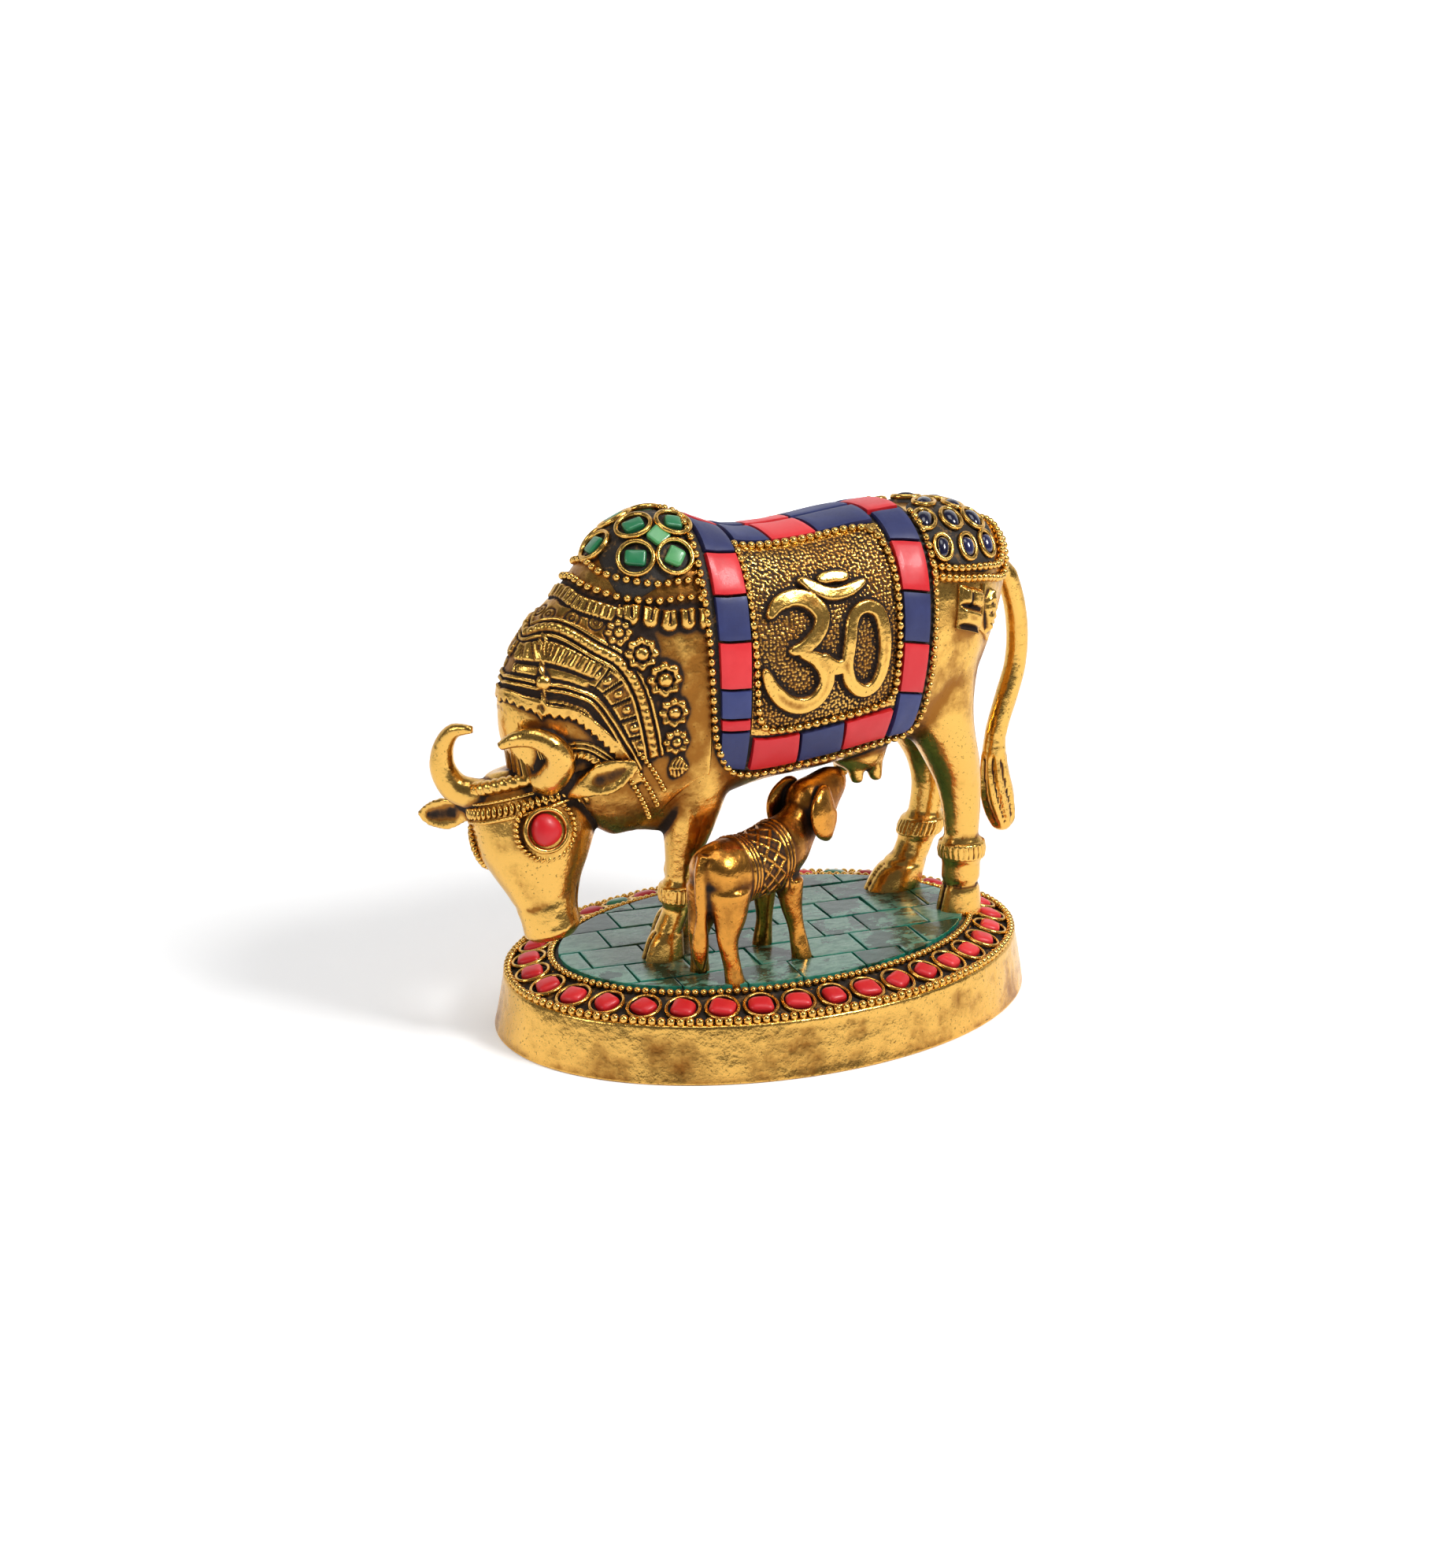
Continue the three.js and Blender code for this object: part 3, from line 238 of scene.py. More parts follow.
def normal_at(x, away):
    """Outward normal of the skin at (x, away)."""
    return skin_normal(*locate(x, away))


def curve(points, pitch):
    """Points at an even pitch along the smooth curve through the given ones, by running length."""
    points = np.asarray(points, float)
    fine = row_at(points, np.linspace(0, 1, 60 * len(points)))
    gone = running(fine)
    count = max(int(round(gone[-1] / pitch)), 1)
    at = np.linspace(0, gone[-1], count + 1)
    return np.stack([np.interp(at, gone, fine[:, k]) for k in range(fine.shape[1])], 1)


# Meshes


class Shell:
    """Points and faces gathered from closed surfaces, with a tint for each surface."""

    def __init__(self):
        self.points, self.quads, self.loops, self.tints, self.count = [], [], [], [], 0

    def add(self, points, quads, loops=(), tint=0.5):
        """Adds a surface, or many alike along a leading axis; a tint for each of them or point."""
        points = np.asarray(points, float)
        copies = points.reshape(-1, *points.shape[-2:])
        size = copies.shape[1]
        shift = self.count + size * np.arange(len(copies))
        self.points.append(copies.reshape(-1, 3))
        self.quads.append((np.asarray(quads)[None] + shift[:, None, None]).reshape(-1, 4))
        for loop in loops:
            self.loops.extend((np.asarray(loop)[None] + shift[:, None]).tolist())
        each = np.shape(tint) == (size,)
        self.tints.append(tint if each else np.repeat(np.broadcast_to(tint, len(copies)), size))
        self.count += size * len(copies)

    def grid(self, points, loops=True, wrap=True, tint=0.5):
        """Adds a grid of rows and columns, wrapped round in the columns, with its two ends."""
        rows, columns = points.shape[-3:-1]
        quads = grid_quads(rows, columns, wrap)
        ends = [np.arange(columns)[::-1], np.arange(columns) + (rows - 1) * columns]
        flat = points.reshape(*points.shape[:-3], rows * columns, 3)
        self.add(flat, quads, ends if loops else (), tint)

    def patch(self, points, tint=0.5):
        """Adds a raised patch: its back runs straight between the first and last columns."""
        rows, columns = points.shape[:2]
        quads = grid_quads(rows, columns, False)
        i = np.arange(rows - 1)
        first, last = i * columns, i * columns + columns - 1
        back = np.stack([first, first + columns, last + columns, last], 1)
        ends = [np.arange(columns)[::-1], np.arange(columns) + (rows - 1) * columns]
        self.add(points.reshape(-1, 3), np.concatenate([quads, back]), ends, tint)

    def build(self, name, material, sharp=None):
        """The piece, with edges past the angle sharp, and with its tint and hollow values."""
        points = np.concatenate(self.points)
        quads, caps = outward(points, np.concatenate(self.quads), self.loops)
        mesh = mesh_of(name, points, quads.tolist() + caps)
        if sharp:
            mesh.set_sharp_from_angle(angle=math.radians(sharp))
        return finished(mesh, material, np.concatenate(self.tints), hollows(points, quads))


def mesh_of(name, points, faces):
    """A smooth mesh in metres, of points in millimetres."""
    mesh = bpy.data.meshes.new(name)
    mesh.from_pydata((points * MM).tolist(), [], faces)
    mesh.polygons.foreach_set("use_smooth", np.ones(len(mesh.polygons), bool))
    return mesh


def finished(mesh, material, tint, hollow):
    """The piece of a mesh, with a number of each kind at every point, riding on the one body."""
    for kind, values in (("tint", tint), ("hollow", hollow)):
        attribute = mesh.attributes.new(kind, "FLOAT", "POINT")
        attribute.data.foreach_set("value", np.asarray(values, np.float32))
    piece = bpy.data.objects.new(mesh.name, mesh)
    bpy.context.scene.collection.objects.link(piece)
    mesh.materials.append(material)
    mesh.update()
    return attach(piece, "root")


def grid_quads(rows, columns, wrap):
    """Corner numbers of a grid's quads, row by row."""
    i, j = np.meshgrid(np.arange(rows - 1), np.arange(columns - (not wrap)), indexing="ij")
    a, b = i * columns + j, i * columns + (j + 1) % columns
    return np.stack([a, b, b + columns, a + columns], -1).reshape(-1, 4)


def outward(points, quads, loops):
    """Faces in an order that points them outwards: by the sign of the volume of each island."""
    parent = islands(len(points), quads)
    corner = points[quads]
    spread = np.cross(corner[:, 2] - corner[:, 0], corner[:, 3] - corner[:, 1])
    volume = (corner.mean(1) * spread).sum(1)
    total = np.bincount(parent[quads[:, 0]], volume, len(points))
    for loop in loops:
        ring = points[loop]
        area = np.cross(ring, np.roll(ring, -1, 0)).sum(0)
        total[parent[loop[0]]] += ring.mean(0) @ area
    wrong = total[parent[quads[:, 0]]] < 0
    turned = np.where(wrong[:, None], quads[:, ::-1], quads)
    caps = [loop[::-1] if total[parent[loop[0]]] < 0 else loop for loop in loops]
    return turned, caps


def edges(quads):
    """The corner numbers of every side of every quad."""
    return np.concatenate([quads[:, [k, (k + 1) % 4]] for k in range(4)])


def islands(count, quads):
    """Number of the lowest point that each point is joined to, spread along edges until still."""
    label = np.arange(count)
    first, second = edges(quads).T
    while True:
        low = np.minimum(label[first], label[second])
        fresh = label.copy()
        np.minimum.at(fresh, first, low)
        np.minimum.at(fresh, second, low)
        fresh = fresh[fresh]
        if (fresh == label).all():
            return label
        label = fresh


def neighbours(quads, count):
    """Each edge of the quads once, and one over the number of edges at each point."""
    pairs = np.unique(np.sort(edges(quads), 1), axis=0)
    number = np.bincount(pairs.ravel(), minlength=count)
    return pairs, (1 / np.maximum(number, 1))[:, None]


def neighbour_mean(points, pairs, share):
    """Mean of each point's neighbours, from what neighbours() gives."""
    total = np.empty_like(points)
    for k in range(3):
        total[:, k] = np.bincount(pairs[:, 0], points[pairs[:, 1], k], len(points))
        total[:, k] += np.bincount(pairs[:, 1], points[pairs[:, 0], k], len(points))
    return total * share


def point_normals(points, quads):
    """Sum of the face normals at each point, made unit."""
    corner = points[quads]
    spread = np.cross(corner[:, 2] - corner[:, 0], corner[:, 3] - corner[:, 1])
    total = np.stack(
        [
            sum(np.bincount(quads[:, c], spread[:, k], len(points)) for c in range(4))
            for k in range(3)
        ],
        1,
    )
    return unit(total)


def hollows(points, quads, rounds=(7, 32), depth=0.28):
    """How far each point lies below two smoothed surfaces, in depths: over 0 in hollows."""
    pairs, share = neighbours(quads, len(points))
    normals = point_normals(points, quads)
    smooth, found = points, []
    for number in range(1, rounds[-1] + 1):
        smooth = 0.3 * smooth + 0.7 * neighbour_mean(smooth, pairs, share)
        if number in rounds:
            found.append(((smooth - points) * normals).sum(1) / depth)
    near, wide = found[0], found[-1] / 1.8
    return np.clip(np.where(np.abs(near) > np.abs(wide), near, wide), -1, 1)


# Materials


class Value:
    """A shader socket with arithmetic: an expression on it adds its Math nodes."""

    def __init__(self, finish, socket):
        self.finish, self.socket = finish, socket

    def math(self, operation, *others, swap=False):
        values = [self, *others]
        if swap:
            values = [others[0], self]
        node = self.finish.add("ShaderNodeMath", {"operation": operation}, dict(enumerate(values)))
        return Value(self.finish, node.outputs[0])

    def __add__(self, other):
        return self.math("ADD", other)

    __radd__ = __add__

    def __mul__(self, other):
        return self.math("MULTIPLY", other)

    __rmul__ = __mul__

    def __sub__(self, other):
        return self.math("SUBTRACT", other)

    def __rsub__(self, other):
        return self.math("SUBTRACT", other, swap=True)

    def at_most(self, other):
        return self.math("MINIMUM", other)

    def at_least(self, other):
        return self.math("MAXIMUM", other)

    def ramp(self, low, high):
        """0 below low, 1 above high, smooth between."""
        settings = {"interpolation_type": "SMOOTHSTEP"}
        node = self.finish.add("ShaderNodeMapRange", settings, {0: self, 1: low, 2: high})
        return Value(self.finish, node.outputs[0])


class Finish:
    """A material under construction."""

    def __init__(self, name):
        self.material = bpy.data.materials.new(name)
        self.material.use_nodes = True
        self.tree = self.material.node_tree
        self.tree.nodes.clear()
        self.place = self.add("ShaderNodeTexCoord").outputs["Object"]

    def add(self, kind, settings=None, inputs=None):
        """Any node: its settings come first, then the values or links of its sockets."""
        node = self.tree.nodes.new(kind)
        for key, value in (settings or {}).items():
            setattr(node, key, value)
        for key, value in (inputs or {}).items():
            value = value.socket if isinstance(value, Value) else value
            if isinstance(value, bpy.types.NodeSocket):
                self.tree.links.new(value, node.inputs[key])
            elif value is not None:
                node.inputs[key].default_value = value
        return node

    def noise(self, scale, detail=3.0, rough=0.55, stretch=None, offset=0.0):
        """Cloudy noise of about 1 / scale metres, moved by offset and stretched along each axis."""
        settings = {"Scale": stretch or (1, 1, 1), "Location": (offset, offset, offset)}
        mapped = self.add("ShaderNodeMapping", None, {"Vector": self.place, **settings})
        inputs = {"Scale": scale, "Detail": detail, "Roughness": rough}
        node = self.add("ShaderNodeTexNoise", None, {"Vector": mapped.outputs[0], **inputs})
        return Value(self, node.outputs[0])

    def attribute(self, name):
        """One of the mesh's own values."""
        node = self.add("ShaderNodeAttribute", {"attribute_name": name})
        return Value(self, node.outputs["Fac"])

    def painted_crevice_shade(self, distance):
        """Painted shade from the ambient occlusion node: 1 in a corner closed in by surfaces nearer
        than the distance, 0 in the open.
        """
        node = self.add("ShaderNodeAmbientOcclusion", {"samples": 4}, {"Distance": distance})
        return 1 - Value(self, node.outputs["AO"])

    def mix(self, share, first, second):
        """Colour between two, by share."""
        settings = {"data_type": "RGBA", "clamp_factor": True}
        node = self.add("ShaderNodeMix", settings, {0: share, 6: first, 7: second})
        return node.outputs[2]

    def relief(self, height, distance, strength=1.0):
        """Normal that a height pattern of that depth gives."""
        inputs = {"Height": height, "Distance": distance, "Strength": strength}
        return self.add("ShaderNodeBump", None, inputs).outputs[0]

    def surface(self, colour, roughness, **others):
        """Closes the material with its shader; names of sockets are given with _ for a space."""
        inputs = {"Base Color": colour, "Roughness": roughness}
        inputs.update({name.replace("_", " "): value for name, value in others.items()})
        shader = self.add("ShaderNodeBsdfPrincipled", None, inputs)
        self.add("ShaderNodeOutputMaterial", None, {"Surface": shader.outputs[0]})
        return self.material


def linear(red, green, blue):
    """Linear colour of screen values from 0 to 255, by the 2.4 power with its straight toe."""
    shares = np.array([red, green, blue]) / 255
    low = shares / 12.92
    high = ((shares + 0.055) / 1.055) ** 2.4
    return (*np.where(shares <= 0.04045, low, high).tolist(), 1.0)


def brass(name, bright, dull, dark, darkening_threshold):
    """Antiqued brass: rubbed bright in patches, brown between them, near black with patina in its
    hollows and with painted shade in corners that other surfaces close in.
    """
    f = Finish(name)
    hollow = f.attribute("hollow")
    shade = 0.5 - f.attribute("tint")
    patches = f.noise(75, 5, 0.6)
    lumps = f.noise(240, 3, 0.5, offset=1.0)
    grain = f.noise(900, 4, 0.65)
    pits = f.noise(1500, 2, 0.5, offset=3.0)
    # Painted shade: the occlusion node darkens corners closed in by other pieces, added to the
    # patina of the hollows; the tint brings in the cow's painted shade too
    painted_crevice_shade = f.painted_crevice_shade(0.003)
    patina_and_painted_shade = hollow * 1.5 + painted_crevice_shade * 1.4 + shade * 0.7
    dirt_and_painted_shade = (patina_and_painted_shade + patches * 0.7 + grain * 0.4 - darkening_threshold).ramp(0, 0.6)
    worn = (patches * 2.2 + lumps * 0.6 + grain * 0.4 - patina_and_painted_shade * 0.8 - 1.38).ramp(0, 0.75)
    spots = (pits + patches * 0.4 + grain * 0.2).ramp(0.96, 1.02) * 0.6
    metal = f.mix(worn, dull, bright)
    # the dark colour goes where patina and painted shade fall
    colour = f.mix(dirt_and_painted_shade.at_least(spots), metal, dark)
    rough = 0.16 + grain * 0.14 + (1 - worn) * 0.12 + dirt_and_painted_shade * 0.4
    height = grain * 0.16 + pits * 0.06 + patches * 2.4 + lumps * 1.0
    normal = f.relief(height, 0.00035, 0.7)
    return f.surface(colour, rough.at_most(0.9), Metallic=1 - dirt_and_painted_shade * 0.6, Normal=normal)


def stone(name, main, second, edge_shade, rough=0.38, coat=0.1, cloud=160.0):
    """Polished stone: two tones in clouds, each stone of its own tone, and painted shade darkening
    it where its setting closes in round its edge.
    """
    f = Finish(name)
    cloudy = f.noise(cloud, 5, 0.6)
    fine = f.noise(1400, 3, 0.6)
    tint = f.attribute("tint")
    body = f.mix((cloudy * 0.9 + tint * 0.7 - 0.35).ramp(0.1, 0.9), main, second)
    # Painted shade: the stone turns to its edge shade colour in corners closed in by its setting
    colour = f.mix(f.painted_crevice_shade(0.0012).ramp(0.25, 0.9) * 0.7, body, edge_shade)
    normal = f.relief(fine * 0.3 + cloudy, 0.00012, 0.4)
    roughness = rough + fine * 0.14
    return f.surface(colour, roughness, Normal=normal, Coat_Weight=coat, Coat_Roughness=0.12)


def lac(name, colour, gilt):
    """Dark setting wax, with a little brass rubbed through it."""
    f = Finish(name)
    grain = f.noise(1100, 4, 0.7)
    rubbed = (f.noise(330, 4, 0.6) + grain * 0.4).ramp(0.74, 0.9)
    normal = f.relief(grain, 0.0003, 0.7)
    return f.surface(f.mix(rubbed * 0.6, colour, gilt), 0.55 + grain * 0.2, Normal=normal)


def malachite(name):
    """Green stone chips: deep green against grey-green in sharp patches, turquoise where broken."""
    f = Finish(name)
    clouds = f.noise(95, 5, 0.65)
    veins = f.noise(240, 4, 0.6, stretch=(1, 2.4, 1), offset=5.0)
    fine = f.noise(1500, 3)
    tint = f.attribute("tint")
    broken = (0 - f.attribute("hollow") + clouds * 2.4 + fine * 0.4 - 2.05).ramp(0.1, 0.4)
    light = f.mix(veins.ramp(0.35, 0.65), linear(54, 104, 84), linear(98, 140, 118))
    pale = (clouds * 1.7 + tint * 0.7 + veins * 0.5 - 1.28).ramp(0, 0.12)
    body = f.mix(pale, linear(12, 58, 42), light)
    streaked = f.mix(veins.ramp(0.6, 0.66) * 0.6, body, linear(20, 96, 78))
    colour = f.mix(broken * 0.7, streaked, linear(10, 132, 110))
    normal = f.relief(clouds * 2 + veins * 0.5 + fine * 0.12, 0.0002, 0.6)
    rough = 0.18 + fine * 0.14
    return f.surface(colour, rough, Normal=normal, Coat_Weight=0.25, Coat_Roughness=0.1)


FINISHES = {}


def finish(name):
    """The named material, made the first time that it is asked for."""
    if name not in FINISHES:
        FINISHES[name] = MAKERS[name](bpy.context.scene.statue)
    return FINISHES[name]


# The calf's third colour is laid as patina in hollows and as painted shade in closed-in corners
CALF_BRASS = linear(212, 146, 62), linear(122, 74, 28), linear(26, 15, 7)


def cast_brass(name, darkening_threshold):
    """Maker of the castings' brass, from the colours of the panel."""
    return lambda s: brass(
        name, tuple(s.bright_brass), tuple(s.dull_brass), tuple(s.dark_brass), darkening_threshold
    )


MAKERS = {
    "brass": cast_brass("antique_brass", 0.82),
    "beads": cast_brass("rubbed_brass", 1.0),
    "dark_brass": lambda s: brass("dark_brass", *CALF_BRASS, 0.7),
    "lac": lambda s: lac("setting_wax", linear(30, 22, 14), linear(150, 108, 48)),
    # The third colour of each stone is its painted edge shade
    "coral": lambda s: stone("coral", tuple(s.coral), linear(228, 44, 50), linear(96, 4, 10)),
    "lapis": lambda s: stone(
        "lapis", tuple(s.lapis), linear(48, 58, 116), linear(6, 8, 24), 0.45, 0.05
    ),
    "green_stone": lambda s: stone(
        "green_stone", tuple(s.green_stone), linear(92, 168, 100), linear(8, 44, 26), 0.28, 0.4
    ),
    "onyx": lambda s: stone(
        "dark_blue_cabochon", linear(14, 14, 44), linear(34, 34, 78), linear(3, 3, 12), 0.12, 0.8
    ),
    "malachite": lambda s: malachite("malachite"),
}


# Rings, beads and stones


def frames_for(normals, forward):
    """Two unit directions square to each normal: the first one nearest to forward."""
    forward = np.broadcast_to(forward, normals.shape)
    across = unit(forward - (forward * normals).sum(-1, keepdims=True) * normals)
    return across, np.cross(normals, across)


def set_out(centres, parts, axes):
    """Points round each centre: the sum of their parts along the three axes of the centre."""
    return centres[:, None, None] + sum(
        part[..., None] * axis[:, None, None] for part, axis in zip(parts, axes)
    )


def ball(rows, columns):
    """Points of a unit ball as a grid of rows from pole to pole, wrapped in its columns."""
    fall = (np.pi * (np.arange(rows) + 0.5) / rows)[:, None, None]
    turn = circle(columns)
    ring = np.stack([np.cos(turn), np.sin(turn), np.zeros(columns)], -1)
    return ring[None] * np.sin(fall) + np.array([0, 0, 1]) * np.cos(fall)


BEAD = ball(5, 8)
WIRE_SIDES = 8


def beads(shell, centres, normals, forward, radius, stretch=(1.0, 1.0, 1.0)):
    """Beads at the centres, each a ball stretched along forward, sideways and up."""
    across, along = frames_for(normals, forward)
    wobble = 1 + 0.1 * (scatter(centres[:, 0], centres[:, 2]) - 0.5)
    local = BEAD[None] * np.asarray(stretch) * radius * wobble[:, None, None, None]
    points = set_out(centres, np.moveaxis(local, -1, 0), (across, along, normals))
    shell.grid(points, tint=scatter(centres[:, 0], centres[:, 1]))


def beads_along(shell, line, side, radius, pitch, lift, stretch=(1, 1, 1), rise=0.0, ring=False):
    """Beads along a line of places of the skin, rise above it; a ring leaves out the last one."""
    places = curve([(x, side * a) for x, a in line], 0.1)
    gone = running(place(places[:, 0], places[:, 1], lift))
    at = np.linspace(0, gone[-1], int(round(gone[-1] / pitch)) + 1)[: -1 if ring else None]
    x, away = (np.interp(at, gone, places[:, k]) for k in (0, 1))
    centres = place(x, away, lift + rise)
    ahead = unit(np.gradient(centres, axis=0))
    beads(shell, centres, normal_at(x, away), ahead, radius, stretch)


def bezels(shell, centres, normals, forward, half, wire, sides=22):
    """Round wires bent into ovals: half gives the two half axes to the wire's middle."""
    across, along = frames_for(normals, forward)
    turn, section = circle(sides), circle(WIRE_SIDES)
    half = np.broadcast_to(half, (len(centres), 2))
    reach = wire * np.cos(section)[None, None]
    a = (half[:, 0, None, None] + reach) * np.cos(turn)[None, :, None]
    b = (half[:, 1, None, None] + reach) * np.sin(turn)[None, :, None]
    lift = wire * 1.25 * np.sin(section)[None, None] + 0 * a
    points = set_out(centres, (a, b, lift), (across, along, normals))
    quads = grid_quads(sides + 1, WIRE_SIDES, True) % (sides * WIRE_SIDES)
    shell.add(points.reshape(len(centres), -1, 3), quads)


def cabochons(shell, centres, normals, forward, half, height, square=2.0, crown=2.0, seed=0.0):
    """Domed stones: superellipse outline, rising as a superellipse of power crown, flat below."""
    across, along = frames_for(normals, forward)
    half = np.broadcast_to(half, (len(centres), 2))
    turn = circle(24)
    rise = np.array([-0.35, 0.0, 0.3, 0.55, 0.75, 0.9, 0.98])
    shrink = (1 - np.clip(rise, 0, 1) ** crown) ** (1 / crown)
    cos, sin = power(np.cos(turn), 2 / square), power(np.sin(turn), 2 / square)
    number = np.arange(len(centres))[:, None] + seed
    lumps = 1 + 0.05 * np.cos(2 * turn + 6 * scatter(number))
    lumps = lumps + 0.04 * np.cos(3 * turn + 9 * scatter(number, 2.0))
    a = half[:, 0, None, None] * shrink[None, :, None] * (cos * lumps)[:, None]
    b = half[:, 1, None, None] * shrink[None, :, None] * (sin * lumps)[:, None]
    lift = height * rise[None, :, None] + 0 * a
    points = set_out(centres, (a, b, lift), (across, along, normals))
    shell.grid(points, tint=scatter(number[:, 0], 5.0))


# The cow's casting


def loft(centres, across, along, columns, exponent=2.0):
    """Rings of a loft: centre + across * cos^(2/exponent) + along * sin^(2/exponent)."""
    angle = circle(columns)
    cos = power(np.cos(angle), 2 / exponent)[None, :, None]
    sin = power(np.sin(angle), 2 / exponent)[None, :, None]
    return centres[:, None] + across[:, None] * cos + along[:, None] * sin


def bent(stations, count, side=(0, 1, 0), columns=24):
    """Rings square to the smooth line through stations of (x, y, z, r, share of r along side)."""
    rows = row_at(stations, np.linspace(0, 1, count))
    centres, radius, flat = rows[:, :3], rows[:, 3:4], rows[:, 4:5]
    tangent = unit(np.gradient(centres, axis=0))
    side = np.asarray(side, float)
    across = unit(side - (tangent @ side)[:, None] * tangent)
    return loft(centres, across * radius * flat, np.cross(tangent, across) * radius, columns)


def upright(stations, count, columns=28):
    """Level rings through stations of (x, y, z, half length, half width)."""
    rows = row_at(stations, np.linspace(0, 1, count))
    across = rows[:, 3:4] * np.array([1.0, 0, 0])
    along = rows[:, 4:5] * np.array([0, 1.0, 0])
    return loft(rows[:, :3], across, along, columns)


# Stations of a leg: ahead, outwards, height, half length, half width
FRONT_LEG = [
    [-4.5, 0, 0, 6.3, 5.2],
    [-3.5, 0, 4.5, 5, 4.5],
    [-2.2, 0, 8, 3.9, 3.8],
    [0, 0.2, 13, 3.9, 3.9],
    [0.4, 0.3, 15, 4.7, 4.6],
    [0.4, 0.4, 20, 4.7, 4.6],
    [0.8, 0.5, 21, 4.1, 4],
    [1.5, 1.5, 29, 5.2, 4.9],
    [2.5, 2.5, 37, 7.2, 6.6],
    [3.5, 3.5, 50, 10, 8.8],
    [3.5, 3.5, 64, 10, 9],
]
HIND_LEG = [
    [0, 0, 0, 7, 5.7],
    [0.4, 0, 4.5, 6, 5],
    [0.5, 0, 8.4, 5, 4.5],
    [0.5, 0, 9, 5.6, 4.9],
    [0.5, 0, 14, 5.6, 4.9],
    [0.5, 0, 15, 6.1, 5.5],
    [0.5, 0, 20, 6, 5.3],
    [0.3, 0, 21, 5, 4.5],
    [-0.2, 0, 30, 5.7, 4.8],
    [-1.8, 0.3, 38, 6.8, 5.6],
    [-5, 0.5, 46, 8.4, 7.8],
    [-10, 0.3, 60, 11, 10],
    [-9.5, -1, 76, 12.6, 11.5],
]
FAR_HOOF = [[-2, 0, 0, 9.2, 6.4], [-1.2, 0, 4.5, 8, 6], [-0.2, 0, 8.4, 6.2, 5]]
# Each leg: its table, its foot's x and y, and how far it bows back half way up
LEGS = [
    (FRONT_LEG, -30.5, -6.5, 0),
    (FRONT_LEG, -21, 8, 0),
    (HIND_LEG, 56, -11.5, 0),
    (FAR_HOOF + HIND_LEG[3:], 50, 12.5, 12),
]
LEG_TOP = 76
COW_VOXEL, CALF_VOXEL = 0.78, 0.42  # cells of the skins drawn round the castings' surfaces
# Stations of the tail and the udder: x, y, height, radius or half length, flatness or half width
TAIL = [
    [66, 0, 97, 3.6, 1],
    [73.5, 0, 95, 3.3, 1],
    [78, 0, 87.5, 3.1, 1],
    [80.6, 0, 77, 3.1, 1],
    [80.6, 0, 66, 3.1, 1],
    [78, 0, 56.5, 3.2, 1],
    [75.6, 0, 49, 3.1, 1],
    [74.5, 0, 43, 3.3, 1],
    [74.8, 0, 34, 4.4, 1],
    [76.3, 0, 26, 5.2, 0.9],
    [78.3, 0, 19, 3.9, 0.9],
    [79.3, 0, 16.5, 1.3, 1],
]
UDDER = [[28, 0, 52, 9, 9], [28, 0, 46, 8.5, 8.5], [28, 0, 43, 5.5, 6], [28, 0, 42, 2, 3]]
# Each teat's x and y, and the stations of one: lean, height, radius
TEATS = [(25.5, -4), (25.5, 4), (31.5, -4), (31.5, 4)]
TEAT = [[0, 46, 2.8], [0.4, 42, 2.2], [0.8, 39.5, 1.7], [0.8, 38.6, 0.6]]

# The head's own axes: down the face, towards her left cheek, and out of the face
HEAD_TURN, HEAD_LEAN, HEAD_NOD = math.radians(42), math.radians(17), math.radians(2)
POLL = np.array([-74.2, 1, 49.5 + GROUND])
HEAD_LEFT = np.array(
    [
        math.sin(HEAD_TURN) * math.cos(HEAD_LEAN),
        -math.cos(HEAD_TURN) * math.cos(HEAD_LEAN),
        math.sin(HEAD_LEAN),
    ]
)
LEVEL = np.array([-math.cos(HEAD_TURN), -math.sin(HEAD_TURN), 0])
DROP = unit(np.cross(LEVEL, HEAD_LEFT))
DROP = DROP if DROP[2] < 0 else -DROP
HEAD_DOWN = DROP * math.cos(HEAD_NOD) + LEVEL * math.sin(HEAD_NOD)
HEAD_OUT = LEVEL * math.cos(HEAD_NOD) - DROP * math.sin(HEAD_NOD)
HEAD_AXES = np.array([HEAD_DOWN, HEAD_LEFT, HEAD_OUT])

# Rings of the skull: down, out, half width, half depth
SKULL = np.array(
    [
        [-5, -9, 9, 7],
        [-2, -8.5, 12.8, 10],
        [3, -8, 15, 13],
        [9, -8, 15.6, 14.8],
        [15, -7.5, 15, 14.8],
        [21, -6, 12.3, 12.6],
        [27, -4, 9.1, 9.8],
        [33, -2.5, 7.3, 8],
        [38, -1.8, 7.2, 7],
        [40, -1.5, 5.2, 4.4],
    ]
)
SKULL_SQUARENESS = 2.3
# Stations of each horn and ear: down, outwards, out of the face, radius, flatness;
# 1 is her left side
HORNS = {
    1: [
        [-0.8, 9.5, -0.5, 4.2, 1],
        [-1.4, 13.4, 1.2, 4.1, 1],
        [-4.6, 18, 3.2, 3.9, 1],
        [-8.9, 18.7, 5.4, 3.3, 1],
        [-12.7, 15.7, 7.7, 2.7, 1],
        [-13.8, 11, 9.3, 2.1, 1],
        [-13, 6.2, 9.8, 1.1, 1],
    ],
    -1: [
        [0, 8, -2, 4.2, 1],
        [-1.4, 12, -1.7, 4.1, 1],
        [-4.2, 15.2, 0, 3.9, 1],
        [-9.8, 16, 1.5, 3.4, 1],
        [-15.2, 13.6, 2.2, 2.7, 1],
        [-18.6, 8.9, 3.3, 2, 1],
        [-18, 3.2, 3.9, 1.1, 1],
    ],
}
